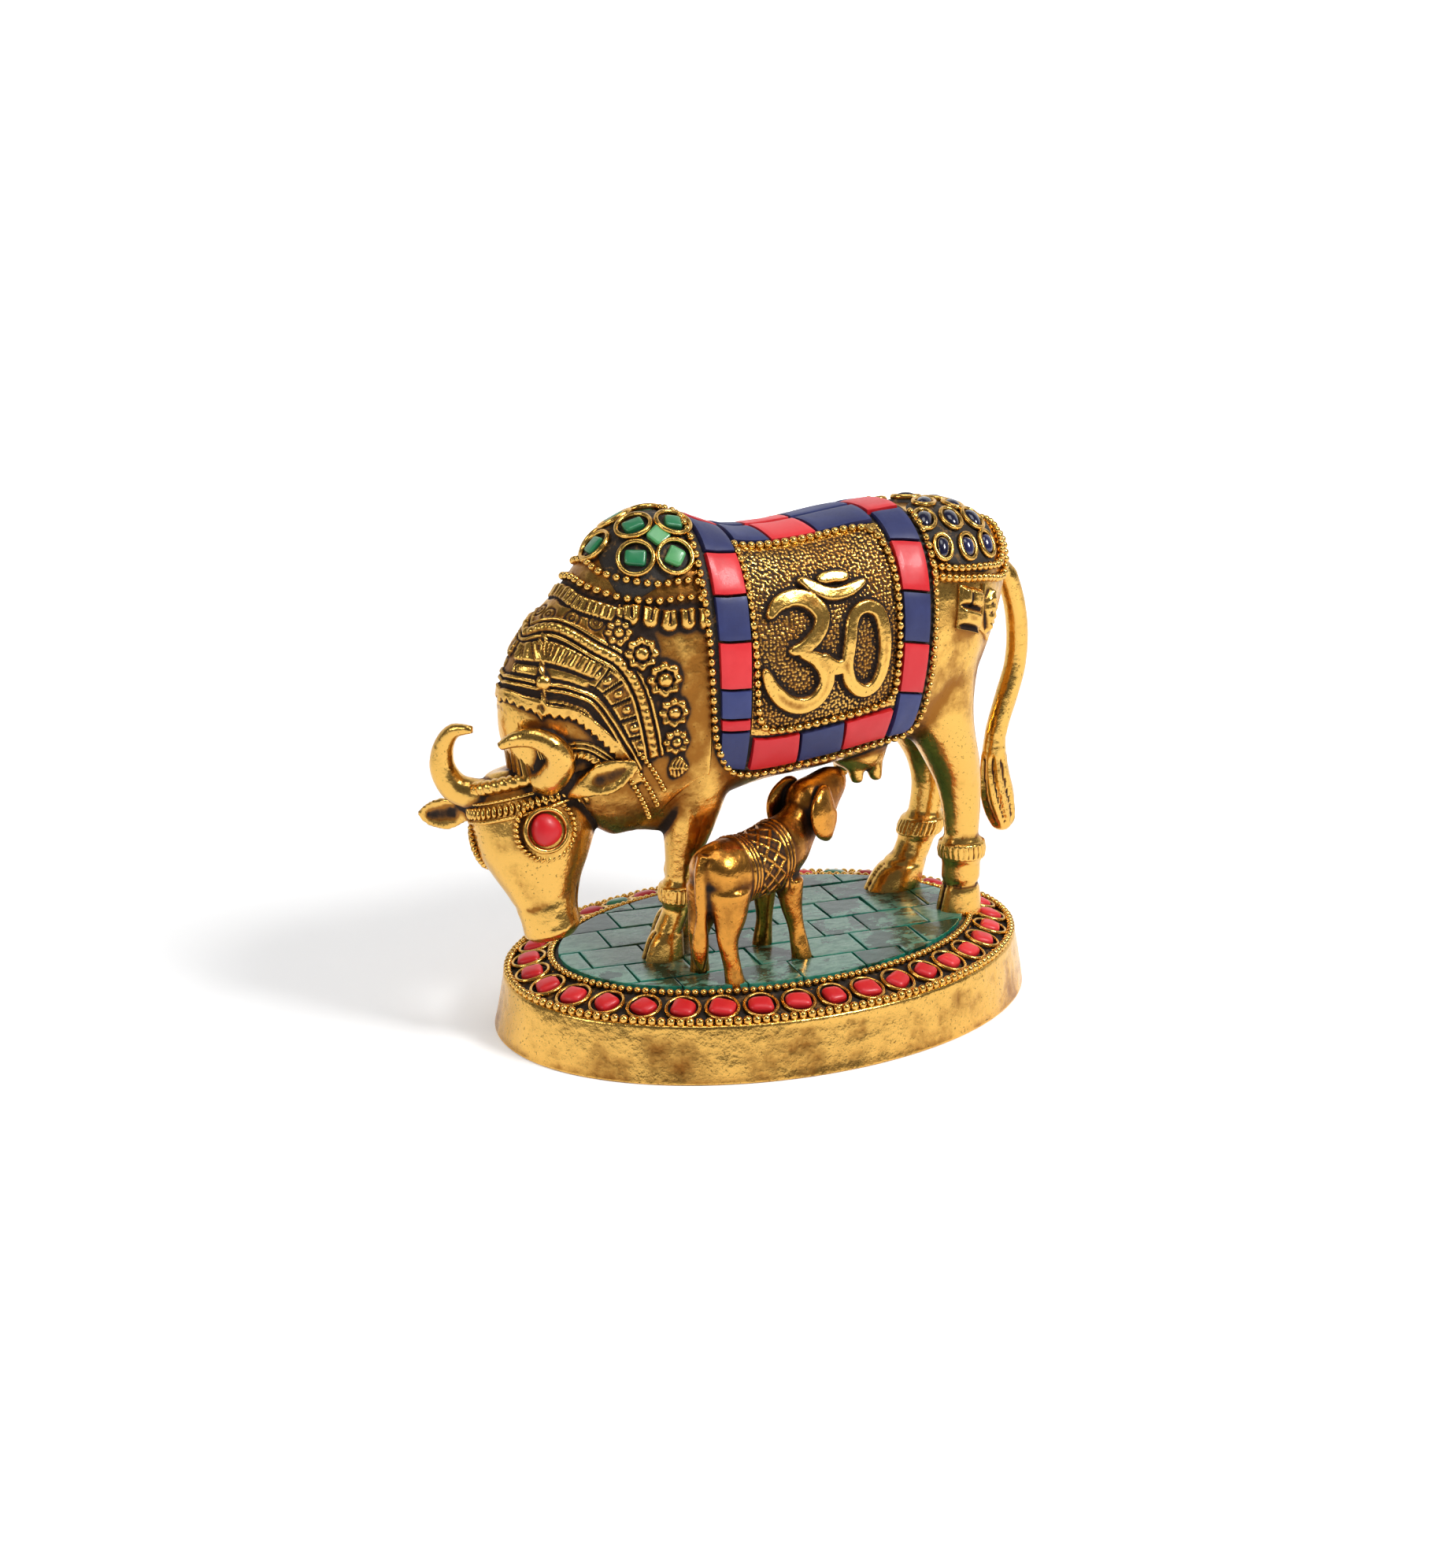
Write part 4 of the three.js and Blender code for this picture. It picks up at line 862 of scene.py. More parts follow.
EARS = {
    1: [
        [3.2, 13.5, -3, 2.6, 0.8],
        [2.8, 21.5, -1.4, 3.2, 0.6],
        [2.2, 26.2, -1.8, 4.3, 0.56],
        [1.5, 30.8, -3, 3.3, 0.6],
        [0.5, 34.4, -4.9, 1.3, 0.9],
    ],
    -1: [
        [3, 11.6, -4, 2.6, 0.8],
        [2.9, 17.2, -3.6, 3.2, 0.6],
        [2.8, 22.4, -3.8, 4.3, 0.56],
        [2.4, 27.5, -5, 3.3, 0.6],
        [2, 31, -6.5, 1.3, 0.9],
    ],
}
# Each eye's place and facing: down the face, to her left, out of the face
EYES = [((11, 9.2, 3.9), (0, 0.64, 0.77)), ((11.5, -14.4, -5.5), (0, -1, 0.05))]


def on_head(down, left, out):
    """Point from distances down the face, to her left and out of the face."""
    return POLL + np.stack(np.broadcast_arrays(down, left, out), -1) @ HEAD_AXES


def skull(down, turn, height=0.0):
    """Point of the skull: a superellipse ring, turn 0 at her left cheek and 90 in front."""
    down, turn = np.broadcast_arrays(np.asarray(down, float), np.asarray(turn, float))
    row = row_at(SKULL, np.interp(down, SKULL[:, 0], np.linspace(0, 1, len(SKULL))))
    angle = np.radians(turn)
    left = (row[..., 2] + height) * power(np.cos(angle), 2 / SKULL_SQUARENESS)
    out = row[..., 1] + (row[..., 3] + height) * power(np.sin(angle), 2 / SKULL_SQUARENESS)
    return on_head(down, left, out)


def skull_normal(down, turn):
    """Outward normal of the skull by two small steps."""
    along = skull(down + 0.1, turn) - skull(down - 0.1, turn)
    around = skull(down, turn + 1) - skull(down, turn - 1)
    normal = unit(np.cross(along, around))
    outwards = skull(down, turn) - on_head(down, 0, -5)
    return normal * np.sign((normal * outwards).sum(-1, keepdims=True))


def head_stations(table, side):
    """Stations in space of a horn or an ear on one side."""
    rows = np.asarray(table[side], float)
    points = on_head(rows[:, 0], side * rows[:, 1], rows[:, 2])
    return np.concatenate([points, rows[:, 3:5]], 1)


def ear(side):
    """An ear whose front is scooped out: its rings sink by a cosine between their two rims."""
    stations = head_stations(EARS, side)
    share = np.linspace(0, 1, 40)
    front = np.clip(np.cos(circle(32)), 0, 1) ** 2.2
    depth = row_at(stations, share)[:, 3] * 0.62 * step(share, 0.12, 0.4) * step(share, 0.99, 0.8)
    sunk = (depth[:, None] * front[None])[..., None] * HEAD_OUT
    return bent(stations, len(share), HEAD_OUT, 32) - sunk


def cow_surfaces():
    """Every closed surface that the cow's casting is joined from."""
    shell = Shell()
    shell.grid(skin(np.linspace(0, 1, 160)[:, None], np.linspace(0, 360, 121)[None, :-1]))
    downs = np.concatenate([[-4.99], np.linspace(-4.9, 39.9, 70), [39.99]])
    shell.grid(skull(downs[:, None], np.linspace(0, 360, 73)[None, :-1]))
    for table, x, y, bow in LEGS:
        rows = np.array(table, float)
        rise = rows[:, 2].copy()
        rows[:, 0] += x + bow * np.sin(np.pi * np.minimum(rise / LEG_TOP, 1))
        rows[:, 1] = y + np.sign(y) * rows[:, 1]
        rows[:, 2] = np.where(rise > 0, GROUND + rise, BED + 0.1)
        shell.grid(upright(rows, 90))
    shell.grid(bent(np.array(TAIL) + [0, 0, GROUND, 0, 0], 120))
    shell.grid(upright(np.array(UDDER) + [0, 0, GROUND, 0, 0], 20))
    for x, y in TEATS:
        teat = [[x + lean, y, z + GROUND, r, r] for lean, z, r in TEAT]
        shell.grid(upright(teat, 12, 14))
    for side in (1, -1):
        shell.grid(bent(head_stations(HORNS, side), 60, HEAD_OUT, 24))
        shell.grid(ear(side))
    return shell


def remeshed(shell, voxel):
    """Points and quads of the one skin round all the surfaces of a shell."""
    points, quads = np.concatenate(shell.points), np.concatenate(shell.quads)
    mesh = bpy.data.meshes.new("draft")
    turned, caps = outward(points, quads, shell.loops)
    mesh.from_pydata(points.tolist(), [], turned.tolist() + caps)
    draft = bpy.data.objects.new("draft", mesh)
    bpy.context.scene.collection.objects.link(draft)
    maker = draft.modifiers.new("skin", "REMESH")
    maker.mode, maker.voxel_size = "VOXEL", voxel
    made = draft.evaluated_get(bpy.context.evaluated_depsgraph_get()).to_mesh()
    found = np.empty(3 * len(made.vertices))
    made.vertices.foreach_get("co", found)
    corners = np.empty(len(made.loops), int)
    made.loops.foreach_get("vertex_index", corners)
    draft.to_mesh_clear()
    bpy.data.objects.remove(draft)
    bpy.data.meshes.remove(mesh)
    return found.reshape(-1, 3), corners.reshape(-1, 4)


def smoothed(points, quads, rounds, blend=()):
    """Smoothing that keeps the volume, then a softer one inside spheres of (centre, radius)."""
    pairs, share = neighbours(quads, len(points))
    for _ in range(rounds):
        points = points + 0.5 * (neighbour_mean(points, pairs, share) - points)
        points = points - 0.52 * (neighbour_mean(points, pairs, share) - points)
    weight = np.zeros(len(points))
    for centre, radius in blend:
        gone = np.linalg.norm(points - centre, axis=1) / radius
        weight = np.maximum(weight, step(gone, 1, 0.6))
    for _ in range(40 if len(blend) else 0):
        points = points + weight[:, None] * 0.6 * (neighbour_mean(points, pairs, share) - points)
    return points


def groove(distance, width, depth):
    """Depth of a rounded groove at a distance from its middle line."""
    return depth * np.exp(-((distance / width) ** 2))


def cow_relief(points):
    """Depth pressed into the casting: mouth, nostrils, hooves and the tail's hairs."""
    down, left, out = ((points - POLL) @ axis for axis in HEAD_AXES)
    near = (down > -8) & (down < 42) & (points[:, 0] < -55)
    mouth = groove(out + 5.3 - 0.06 * (down - 30), 0.5, 0.75) * step(down, 27, 31) * near
    muzzle = groove(down - 30.5 + 0.02 * left**2, 1.1, 0.25) * step(out, -3, 1) * near
    depth = mouth + muzzle
    for side in (-1, 1):
        gone = np.hypot((down - 36.2) / 1.1, (left - side * 3.9) / 1.5)
        depth += groove(gone, 1, 0.45) * (out > 1) * near
    z = points[:, 2] - GROUND
    for table, x, y, _ in LEGS:
        foot_x = x + table[0][0]
        inside = (np.hypot(points[:, 0] - foot_x, points[:, 1] - y) < 11) & (z < 22)
        ahead = points[:, 0] < foot_x
        cleft = groove(points[:, 1] - y, 0.45, 0.9) * step(z, 8, 6) * ahead
        crown = groove(z - 7.2, 0.45, 0.35)
        depth += inside * (cleft + crown)
    tuft = (points[:, 0] > 68) & (z < 41)
    middle = np.interp(z, [16, 26, 34, 43], [79.3, 76.3, 74.8, 74.5])
    turn = np.arctan2(points[:, 1], points[:, 0] - middle)
    hair = 0.85 * np.cos(4 * turn + 0.08 * z) ** 2 * step(z, 41, 38) * step(z, 17, 20)
    rings = 0.45 * (1 - np.abs(np.cos(np.pi * z / 1.6))) * step(np.abs(z - 42.5), 3.2, 2.4)
    depth += tuft * hair + (points[:, 0] > 68) * rings
    return depth


# Where legs, udder and tail grow out of the trunk: middle and radius of the softer smoothing
BLENDS = [
    ((-27, -11, 74), 15),
    ((-18, 12, 74), 15),
    ((46, -12, 78), 20),
    ((40, 13, 78), 20),
    ((28, 0, 72), 12),
    ((72, 0, 116), 8),
]


def cow_body():
    """The cow's casting: its surfaces under one skin, smoothed and pressed by the relief."""
    points, quads = remeshed(cow_surfaces(), COW_VOXEL)
    points = smoothed(points, quads, 4, BLENDS)
    points = points - point_normals(points, quads) * cow_relief(points)[:, None]
    points[:, 2] = np.maximum(points[:, 2], BED)
    return skin_object("cow_body", points, quads, finish("brass"), painted_shade_and_dark_hooves(points))


def painted_shade_and_dark_hooves(points):
    """Painted shade on the casting, as a lower tint: darker round the eyes and under the brow
    bands; the hooves also darker towards the ground.
    """
    down = (points - POLL) @ HEAD_DOWN
    head = (points[:, 0] < -60) & (points[:, 2] < 82)
    # Painted shade in a band under the brow bands and in a ring round each eye
    dark = 0.4 * bump(down, -0.5, 4.5) * head
    for spot, _ in EYES:
        gone = np.linalg.norm(points - on_head(*spot), axis=1)
        dark = np.maximum(dark, 0.6 * step(gone, 9.6, 8.0))
    # The hooves darker towards the ground
    hoof = step(points[:, 2] - GROUND, 9, 2) * (points[:, 0] > -60)
    return 0.5 - np.maximum(dark, 0.25 * hoof)


def skin_object(name, points, quads, material, tint=0.5):
    """The piece of one skin of quads in millimetres."""
    quads, _ = outward(points, quads, [])
    tint = np.broadcast_to(tint, len(points))
    mesh = mesh_of(name, points, quads.tolist())
    return finished(mesh, material, tint, hollows(points, quads, (10, 40), 0.3))


# Saddle


def spread(low, high, pitch):
    """Even steps from low to high, about a pitch apart."""
    return np.linspace(low, high, max(int(round((high - low) / pitch)), 1) + 1)


def edge_ring(low, high, pitch, lip=0.12):
    """Even steps with the two ends doubled, so that a patch can drop at its edge."""
    inner = spread(low + lip, high - lip, pitch)
    return np.concatenate([[low, low + 0.02], inner, [high - 0.02, high]])


def patch_grid(x_low, x_high, away_low, away_high, pitch):
    """Places of a patch of the skin, and which of them lie on its edge."""
    ends = edge_ring(x_low, x_high, pitch), edge_ring(away_low, away_high, pitch)
    x, away = np.meshgrid(*ends, indexing="ij")
    edge = (x == x_low) | (x == x_high) | (away == away_low) | (away == away_high)
    return x, away, edge


CLOTH_CORNER = 7.0


def in_corner(x, away):
    """Moves places outside the cloth's rounded lower corners in to the arc of the corner."""
    for edge, way in ((CLOTH_FRONT, -1), (CLOTH_REAR, 1)):
        cx, ca = edge - way * CLOTH_CORNER, CLOTH_DROP - CLOTH_CORNER
        dx, da = (x - cx) * way, away - ca
        gone = np.hypot(dx, da)
        outside = (dx > 0) & (da > 0) & (gone > CLOTH_CORNER)
        pull = np.where(outside, CLOTH_CORNER / np.maximum(gone, 1e-6), 1)
        x = np.where(outside, cx + way * dx * pull, x)
        away = np.where(outside, ca + da * pull, away)
    return x, away


def tile(shell, corners, side, seed):
    """A chip over four corners (x, away): a pillow with upright edges, its top a little uneven."""
    corners = np.array(corners, float)
    sizes = [np.linalg.norm(corners[k] - corners[0]) for k in (1, 3)]
    u, v = np.meshgrid(*(edge_ring(0, size, 0.8) / size for size in sizes), indexing="ij")
    shares = (1 - u) * (1 - v), u * (1 - v), u * v, (1 - u) * v
    x, a = (sum(w * c for w, c in zip(shares, corners[:, k])) for k in (0, 1))
    x, a = in_corner(x, a)
    gap = np.minimum(np.minimum(u, 1 - u) * sizes[0], np.minimum(v, 1 - v) * sizes[1])
    lean, nod = 0.5 * (scatter(seed, 1.0) - 0.5), 0.4 * (scatter(seed, 2.0) - 0.5)
    tilt = lean * (u - 0.5) + nod * (v - 0.5)
    wave = 0.05 * np.sin(5 * u + 7 * v + 9 * scatter(seed, 3.0))
    height = TILE_TOP + tilt + wave - 0.3 * np.exp(-gap / 0.22)
    height = np.where(gap < 0.01, TILE_BASE, height)
    height = np.where((gap > 0.01) & (gap < 0.06), TILE_TOP - 0.75, height)
    shell.patch(place(x, side * a, height), scatter(seed, 4.0))


# Ends of the front and rear columns' tiles, by distance from the back, and whether each is coral
FRONT_TILES = [
    (4, 16, False),
    (16, 27, True),
    (27, 38.2, False),
    (38.2, 50.3, True),
    (50.3, 58, False),
    (58, 61.2, True),
    (61.2, 72.5, False),
]
REAR_TILES = [
    (7.8, 19.5, False),
    (19.5, 32.7, True),
    (32.7, 45.6, False),
    (45.6, 59, True),
    (59, 72.5, False),
]
HEM_JOINTS = [-17, -2.8, 10, 24.2]
BACK_JOINTS = [-17, -6.8, 7, 24.2]
TILE_BASE, TILE_TOP, TILE_GAP = 0.5, 2.35, 0.55


def tile_layout():
    """Corner places, coral or not, of every tile of one flank."""
    g = TILE_GAP / 2
    found = []
    for ends, low, high, slant in (
        (FRONT_TILES, CLOTH_FRONT + 1.0, PANEL_FRONT - 1.1, 0.8),
        (REAR_TILES, PANEL_REAR + 1.1, CLOTH_REAR - 1.0, -0.8),
    ):
        for top, bottom, red in ends:
            above = slant if top != ends[0][0] else 0
            below = slant if bottom != ends[-1][1] else 0
            start, end = top + g, bottom - (g if below else 1.0)
            front = [(low, start + above), (low, end + below)]
            found.append((front + [(high, end - below), (high, start - above)], red))
    for joints, top, bottom, reds in (
        (HEM_JOINTS, PANEL_BOTTOM + 1.1, CLOTH_DROP - 1.0, (True, False, True)),
        (BACK_JOINTS, 0.9, PANEL_TOP - 1.1, (False, True, False)),
    ):
        for i, red in enumerate(reds):
            x0, x1 = joints[i] + g, joints[i + 1] - g
            ahead, behind = (0.6 if i else 0), (0.6 if i < 2 else 0)
            front = [(x0 - ahead, top), (x0 + ahead, bottom)]
            found.append((front + [(x1 + behind, bottom), (x1 - behind, top)], red))
    return found


def ridge_tiles():
    """Corner places of the two tiles that lie across her back."""
    spans = (
        (CLOTH_FRONT + 1, PANEL_FRONT - 0.6, 3.4),
        (PANEL_REAR + 0.6, CLOTH_REAR - 1, 7.2),
    )
    return [[(low, -a), (low, a), (high, a), (high, -a)] for low, high, a in spans]


def saddle_tiles():
    """Coral and lapis chips of both flanks and of the back, one object for each stone."""
    shells = {True: Shell(), False: Shell()}
    for side in (1, -1):
        for number, (corners, red) in enumerate(tile_layout()):
            tile(shells[red], corners, side, number + 40 * side)
    for number, corners in enumerate(ridge_tiles()):
        tile(shells[True], corners, 1, number + 90)
    coral = shells[True].build("saddle_tiles_coral", finish("coral"), 40)
    lapis = shells[False].build("saddle_tiles_lapis", finish("lapis"), 40)
    return coral


def saddle_cloth():
    """The sheet under the tiles: a patch of the skin lifted all over, sunk at its edge."""
    hem, shrink = 0.9, 0.985
    low, high, drop = CLOTH_FRONT - hem, CLOTH_REAR + hem, CLOTH_DROP + hem
    x, away, edge = patch_grid(low, high, -drop, drop, 1.1)
    moved_x, moved = in_corner(x * shrink, np.abs(away) * shrink)
    shell = Shell()
    lift = np.where(edge, -0.8, 0.85)
    shell.patch(place(moved_x / shrink, moved / shrink * np.sign(away), lift))
    return shell.build("saddle_cloth", finish("lac"))


# Lines of the beads on one flank: round the cloth's edge and round its panel
CLOTH_LINE = [(-27.9, 2), (-28.2, 15), (-28.2, 38), (-27.8, 61), (-26.2, 67.7), (-24, 70.9)]
CLOTH_LINE += [(-20.2, 73.1), (-8, 73.6), (7, 73.6), (24, 73.6), (31.4, 73.4), (34.2, 71)]
CLOTH_LINE += [(35.5, 65.5), (35.3, 40), (35.2, 24), (35.1, 7.8)]
PANEL_LINE = [(-17.2, 12.4), (-17.2, 30), (-16.6, 46), (-15.8, 56.1), (-13.4, 59.9), (-9, 60.6)]
PANEL_LINE += [(4, 60.7), (18, 60.6), (22.6, 59), (23.8, 54), (24, 36), (23.6, 22), (21.4, 14.6)]
PANEL_LINE += [(16, 12.4), (4, 12.2), (-9, 12.2), (-17.2, 12.4)]
PANEL_BEAD = 1.08


def saddle_beads():
    """Bead wires along the cloth's lines, a bead every 2.5 mm of skin."""
    shell = Shell()
    outer = bpy.context.scene.statue.saddle_bead / MM
    for side in (1, -1):
        for line, radius in ((CLOTH_LINE, outer), (PANEL_LINE, PANEL_BEAD)):
            beads_along(shell, line, side, radius, 2.5, 1.7, (1.18, 1.0, 1.0), 0.05, True)
    return shell.build("saddle_beads", finish("beads"))


# Strokes of the sign: places as shares of its length and drop, and half the stroke's width
OM_STROKES = {
    "upper": (
        [(0.117, 0.391), (0.184, 0.334), (0.292, 0.315), (0.391, 0.346), (0.458, 0.414)]
        + [(0.455, 0.481), (0.401, 0.536), (0.32, 0.573), (0.248, 0.58)],
        2.0,
    ),
    "lower": (
        [(0.313, 0.602), (0.413, 0.642), (0.477, 0.704), (0.495, 0.778), (0.453, 0.843)]
        + [(0.382, 0.877), (0.288, 0.873), (0.191, 0.829), (0.115, 0.756), (0.072, 0.674)],
        2.0,
    ),
    "join": ([(0.468, 0.661), (0.559, 0.714), (0.635, 0.707)], 1.8),
    "loop": (
        [(0.635, 0.707), (0.66, 0.596), (0.679, 0.501), (0.727, 0.451), (0.806, 0.444)]
        + [(0.879, 0.489), (0.912, 0.584), (0.918, 0.696), (0.897, 0.806), (0.839, 0.873)]
        + [(0.754, 0.876), (0.67, 0.812), (0.636, 0.724)],
        1.6,
    ),
    "crescent": (
        [(0.356, 0.232), (0.446, 0.291), (0.546, 0.334), (0.656, 0.341), (0.798, 0.315)],
        1.5,
    ),
    "lens": ([(0.487, 0.25), (0.592, 0.252), (0.685, 0.268)], 1.4),
}
STROKE_FRONT, STROKE_LENGTH, STROKE_TOP, STROKE_DROP = -17.5, 40.0, 12.5, 48.0
TAPERED = ("upper", "lower", "crescent", "lens")


def stroke_edge(x, away):
    """Distance inside the nearest stroke's edge at each place of the panel, below 0 outside."""
    best = np.full(x.shape, -9.0)
    for name, (shares, half) in OM_STROKES.items():
        line = curve(np.array(shares) * [STROKE_LENGTH, STROKE_DROP], 0.5)
        line = line + [STROKE_FRONT, STROKE_TOP]
        along = np.linspace(0, 1, len(line))
        width = np.full(len(line), half)
        if name in TAPERED:
            width = half * (0.35 + 0.65 * np.sqrt(np.clip(np.minimum(along, 1 - along) * 5, 0, 1)))
        for (px, pa), wide in zip(line, width):
            best = np.maximum(best, wide - np.hypot(x - px, away - pa))
    return best


def saddle_panel(side):
    """The stippled panel and its raised sign, the right way round on both flanks: height from
    the distance to the strokes."""
    ends = PANEL_FRONT - 0.6, PANEL_REAR + 0.4, PANEL_TOP - 0.3, PANEL_BOTTOM + 0.3
    x, away, edge = patch_grid(*ends, 0.3)
    inside = stroke_edge(x if side > 0 else PANEL_FRONT + PANEL_REAR - x, away)
    dots = speckle(x, away, 0.95)
    ground = 1.15 + 0.34 * step(dots, 0.55, 0.1) + 0.12 * np.sin(0.6 * x + 1) * np.sin(0.5 * away)
    flat = 2.95 + 0.08 * np.sin(0.7 * x) * np.sin(0.45 * away)
    height = ground + (flat - ground) * step(inside, -0.28, 0.12)
    height += 0.12 * step(inside, 0.05, 0.6)
    rubbed = 0.08 + 0.5 * step(inside, -0.3, 0.5) + 0.12 * step(dots, 0.5, 0.1)
    shell = Shell()
    shell.patch(place(x, side * away, np.where(edge, 0.2, height)), rubbed.ravel())
    return shell.build(f"saddle_panel_{'left' if side > 0 else 'right'}", finish("brass"))


# Harness of the neck

# Lines of the harness on one flank, in (x, away), from the rope band towards the head, then back
ROPE = [(-57.8, 0), (-57.3, 2), (-54.5, 8), (-51, 19), (-47.7, 28.5), (-45.6, 39)]
ROPE += [(-44.9, 48.5), (-44.6, 58)]
STRAP = [(-62.6, 0), (-62, 5), (-60, 13), (-56.7, 21.5), (-53.8, 28.5), (-52, 37)]
STRAP += [(-50.5, 45.5), (-48.5, 56)]
ZIGZAG = [(-64, 0), (-63, 9.5), (-61, 18.5), (-58.5, 25.5), (-56, 34), (-54, 41)]
ZIGZAG += [(-52, 49), (-50.4, 57)]
COLLAR = [(-64.8, 12), (-64.2, 20), (-62.3, 28), (-59.5, 35), (-57, 43), (-54.6, 51)]
NAPE = [(-68, 0), (-67.6, 9), (-67.2, 17), (-66.6, 26), (-65, 34)]
FLUTES = [(-50.6, -6), (-50.5, 0), (-50, 8), (-47, 16.5), (-45, 20.5)]
DROPS = [(-45, 20.5), (-42.3, 24.3), (-38, 30.4), (-34, 33), (-28.4, 34)]
# Rosettes: x, away, radius
BOSSES = [(-46.4, 22.8, 3.1), (-43.3, 32.7, 4.2), (-39.4, 44.3, 4.5), (-38.1, 54.2, 3.7)]
BOSSES += [(-38.3, 61.9, 3.1)]
SCROLLS = [(-54.2, 2.4), (-52.0, 9.0), (-49.2, 15.4)]
CLASP = (-60.0, 12.6)
LEAF_ROOT, LEAF_TIP, LEAF_HALF = (-40.6, 66.5), (-35.0, 71.5), 3.0
SQUARE_PITCH, DROP_PITCH = 5.4, 4.8
BEAD_ROWS = [
    [(-45.4, -8), (-45.4, 0), (-45.3, 7.6), (-41.7, 16.2), (-36.5, 22.5), (-28.8, 24.6)],
    [(-48.2, -8), (-48.2, 0), (-47.8, 7.6), (-43.9, 17.6), (-37.3, 26.2), (-28.8, 28.8)],
]


def signed_line(points, normals, line):
    """Distance from a line of places, over 0 on the head's side of it, the running length at the
    nearest point, and how far beyond the line's ends that is."""
    places = curve(line, 0.12)
    spine = place(places[:, 0], places[:, 1])
    gone = running(spine)
    even = np.arange(0, gone[-1], 0.4)
    spine = np.stack([np.interp(even, gone, spine[:, k]) for k in range(3)], 1)
    index = np.zeros(len(points), int)
    for start in range(0, len(points), 20000):
        part = points[start : start + 20000]
        square = (part**2).sum(1)[:, None] + (spine**2).sum(1)[None] - 2 * part @ spine.T
        index[start : start + 20000] = square.argmin(1)
    to = points - spine[index]
    ahead = unit(np.gradient(spine, axis=0))[index]
    reach = (to * ahead).sum(1)
    along = even[index] + reach
    distance = np.linalg.norm(to - reach[:, None] * ahead, axis=1)
    sign = -np.sign((to * np.cross(normals, ahead)).sum(1))
    return distance * sign, along, np.maximum(np.maximum(-along, along - even[-1]), 0)


def ridge(distance, half, height):
    """Half-round ridge: height * sqrt(1 - (distance / half)^2)."""
    return height * np.sqrt(np.clip(1 - (distance / half) ** 2, 0, 1))


def plateau(distance, half, soft):
    """1 within half of the line, 0 outside, with a soft edge."""
    return step(np.abs(distance), half + soft, half)


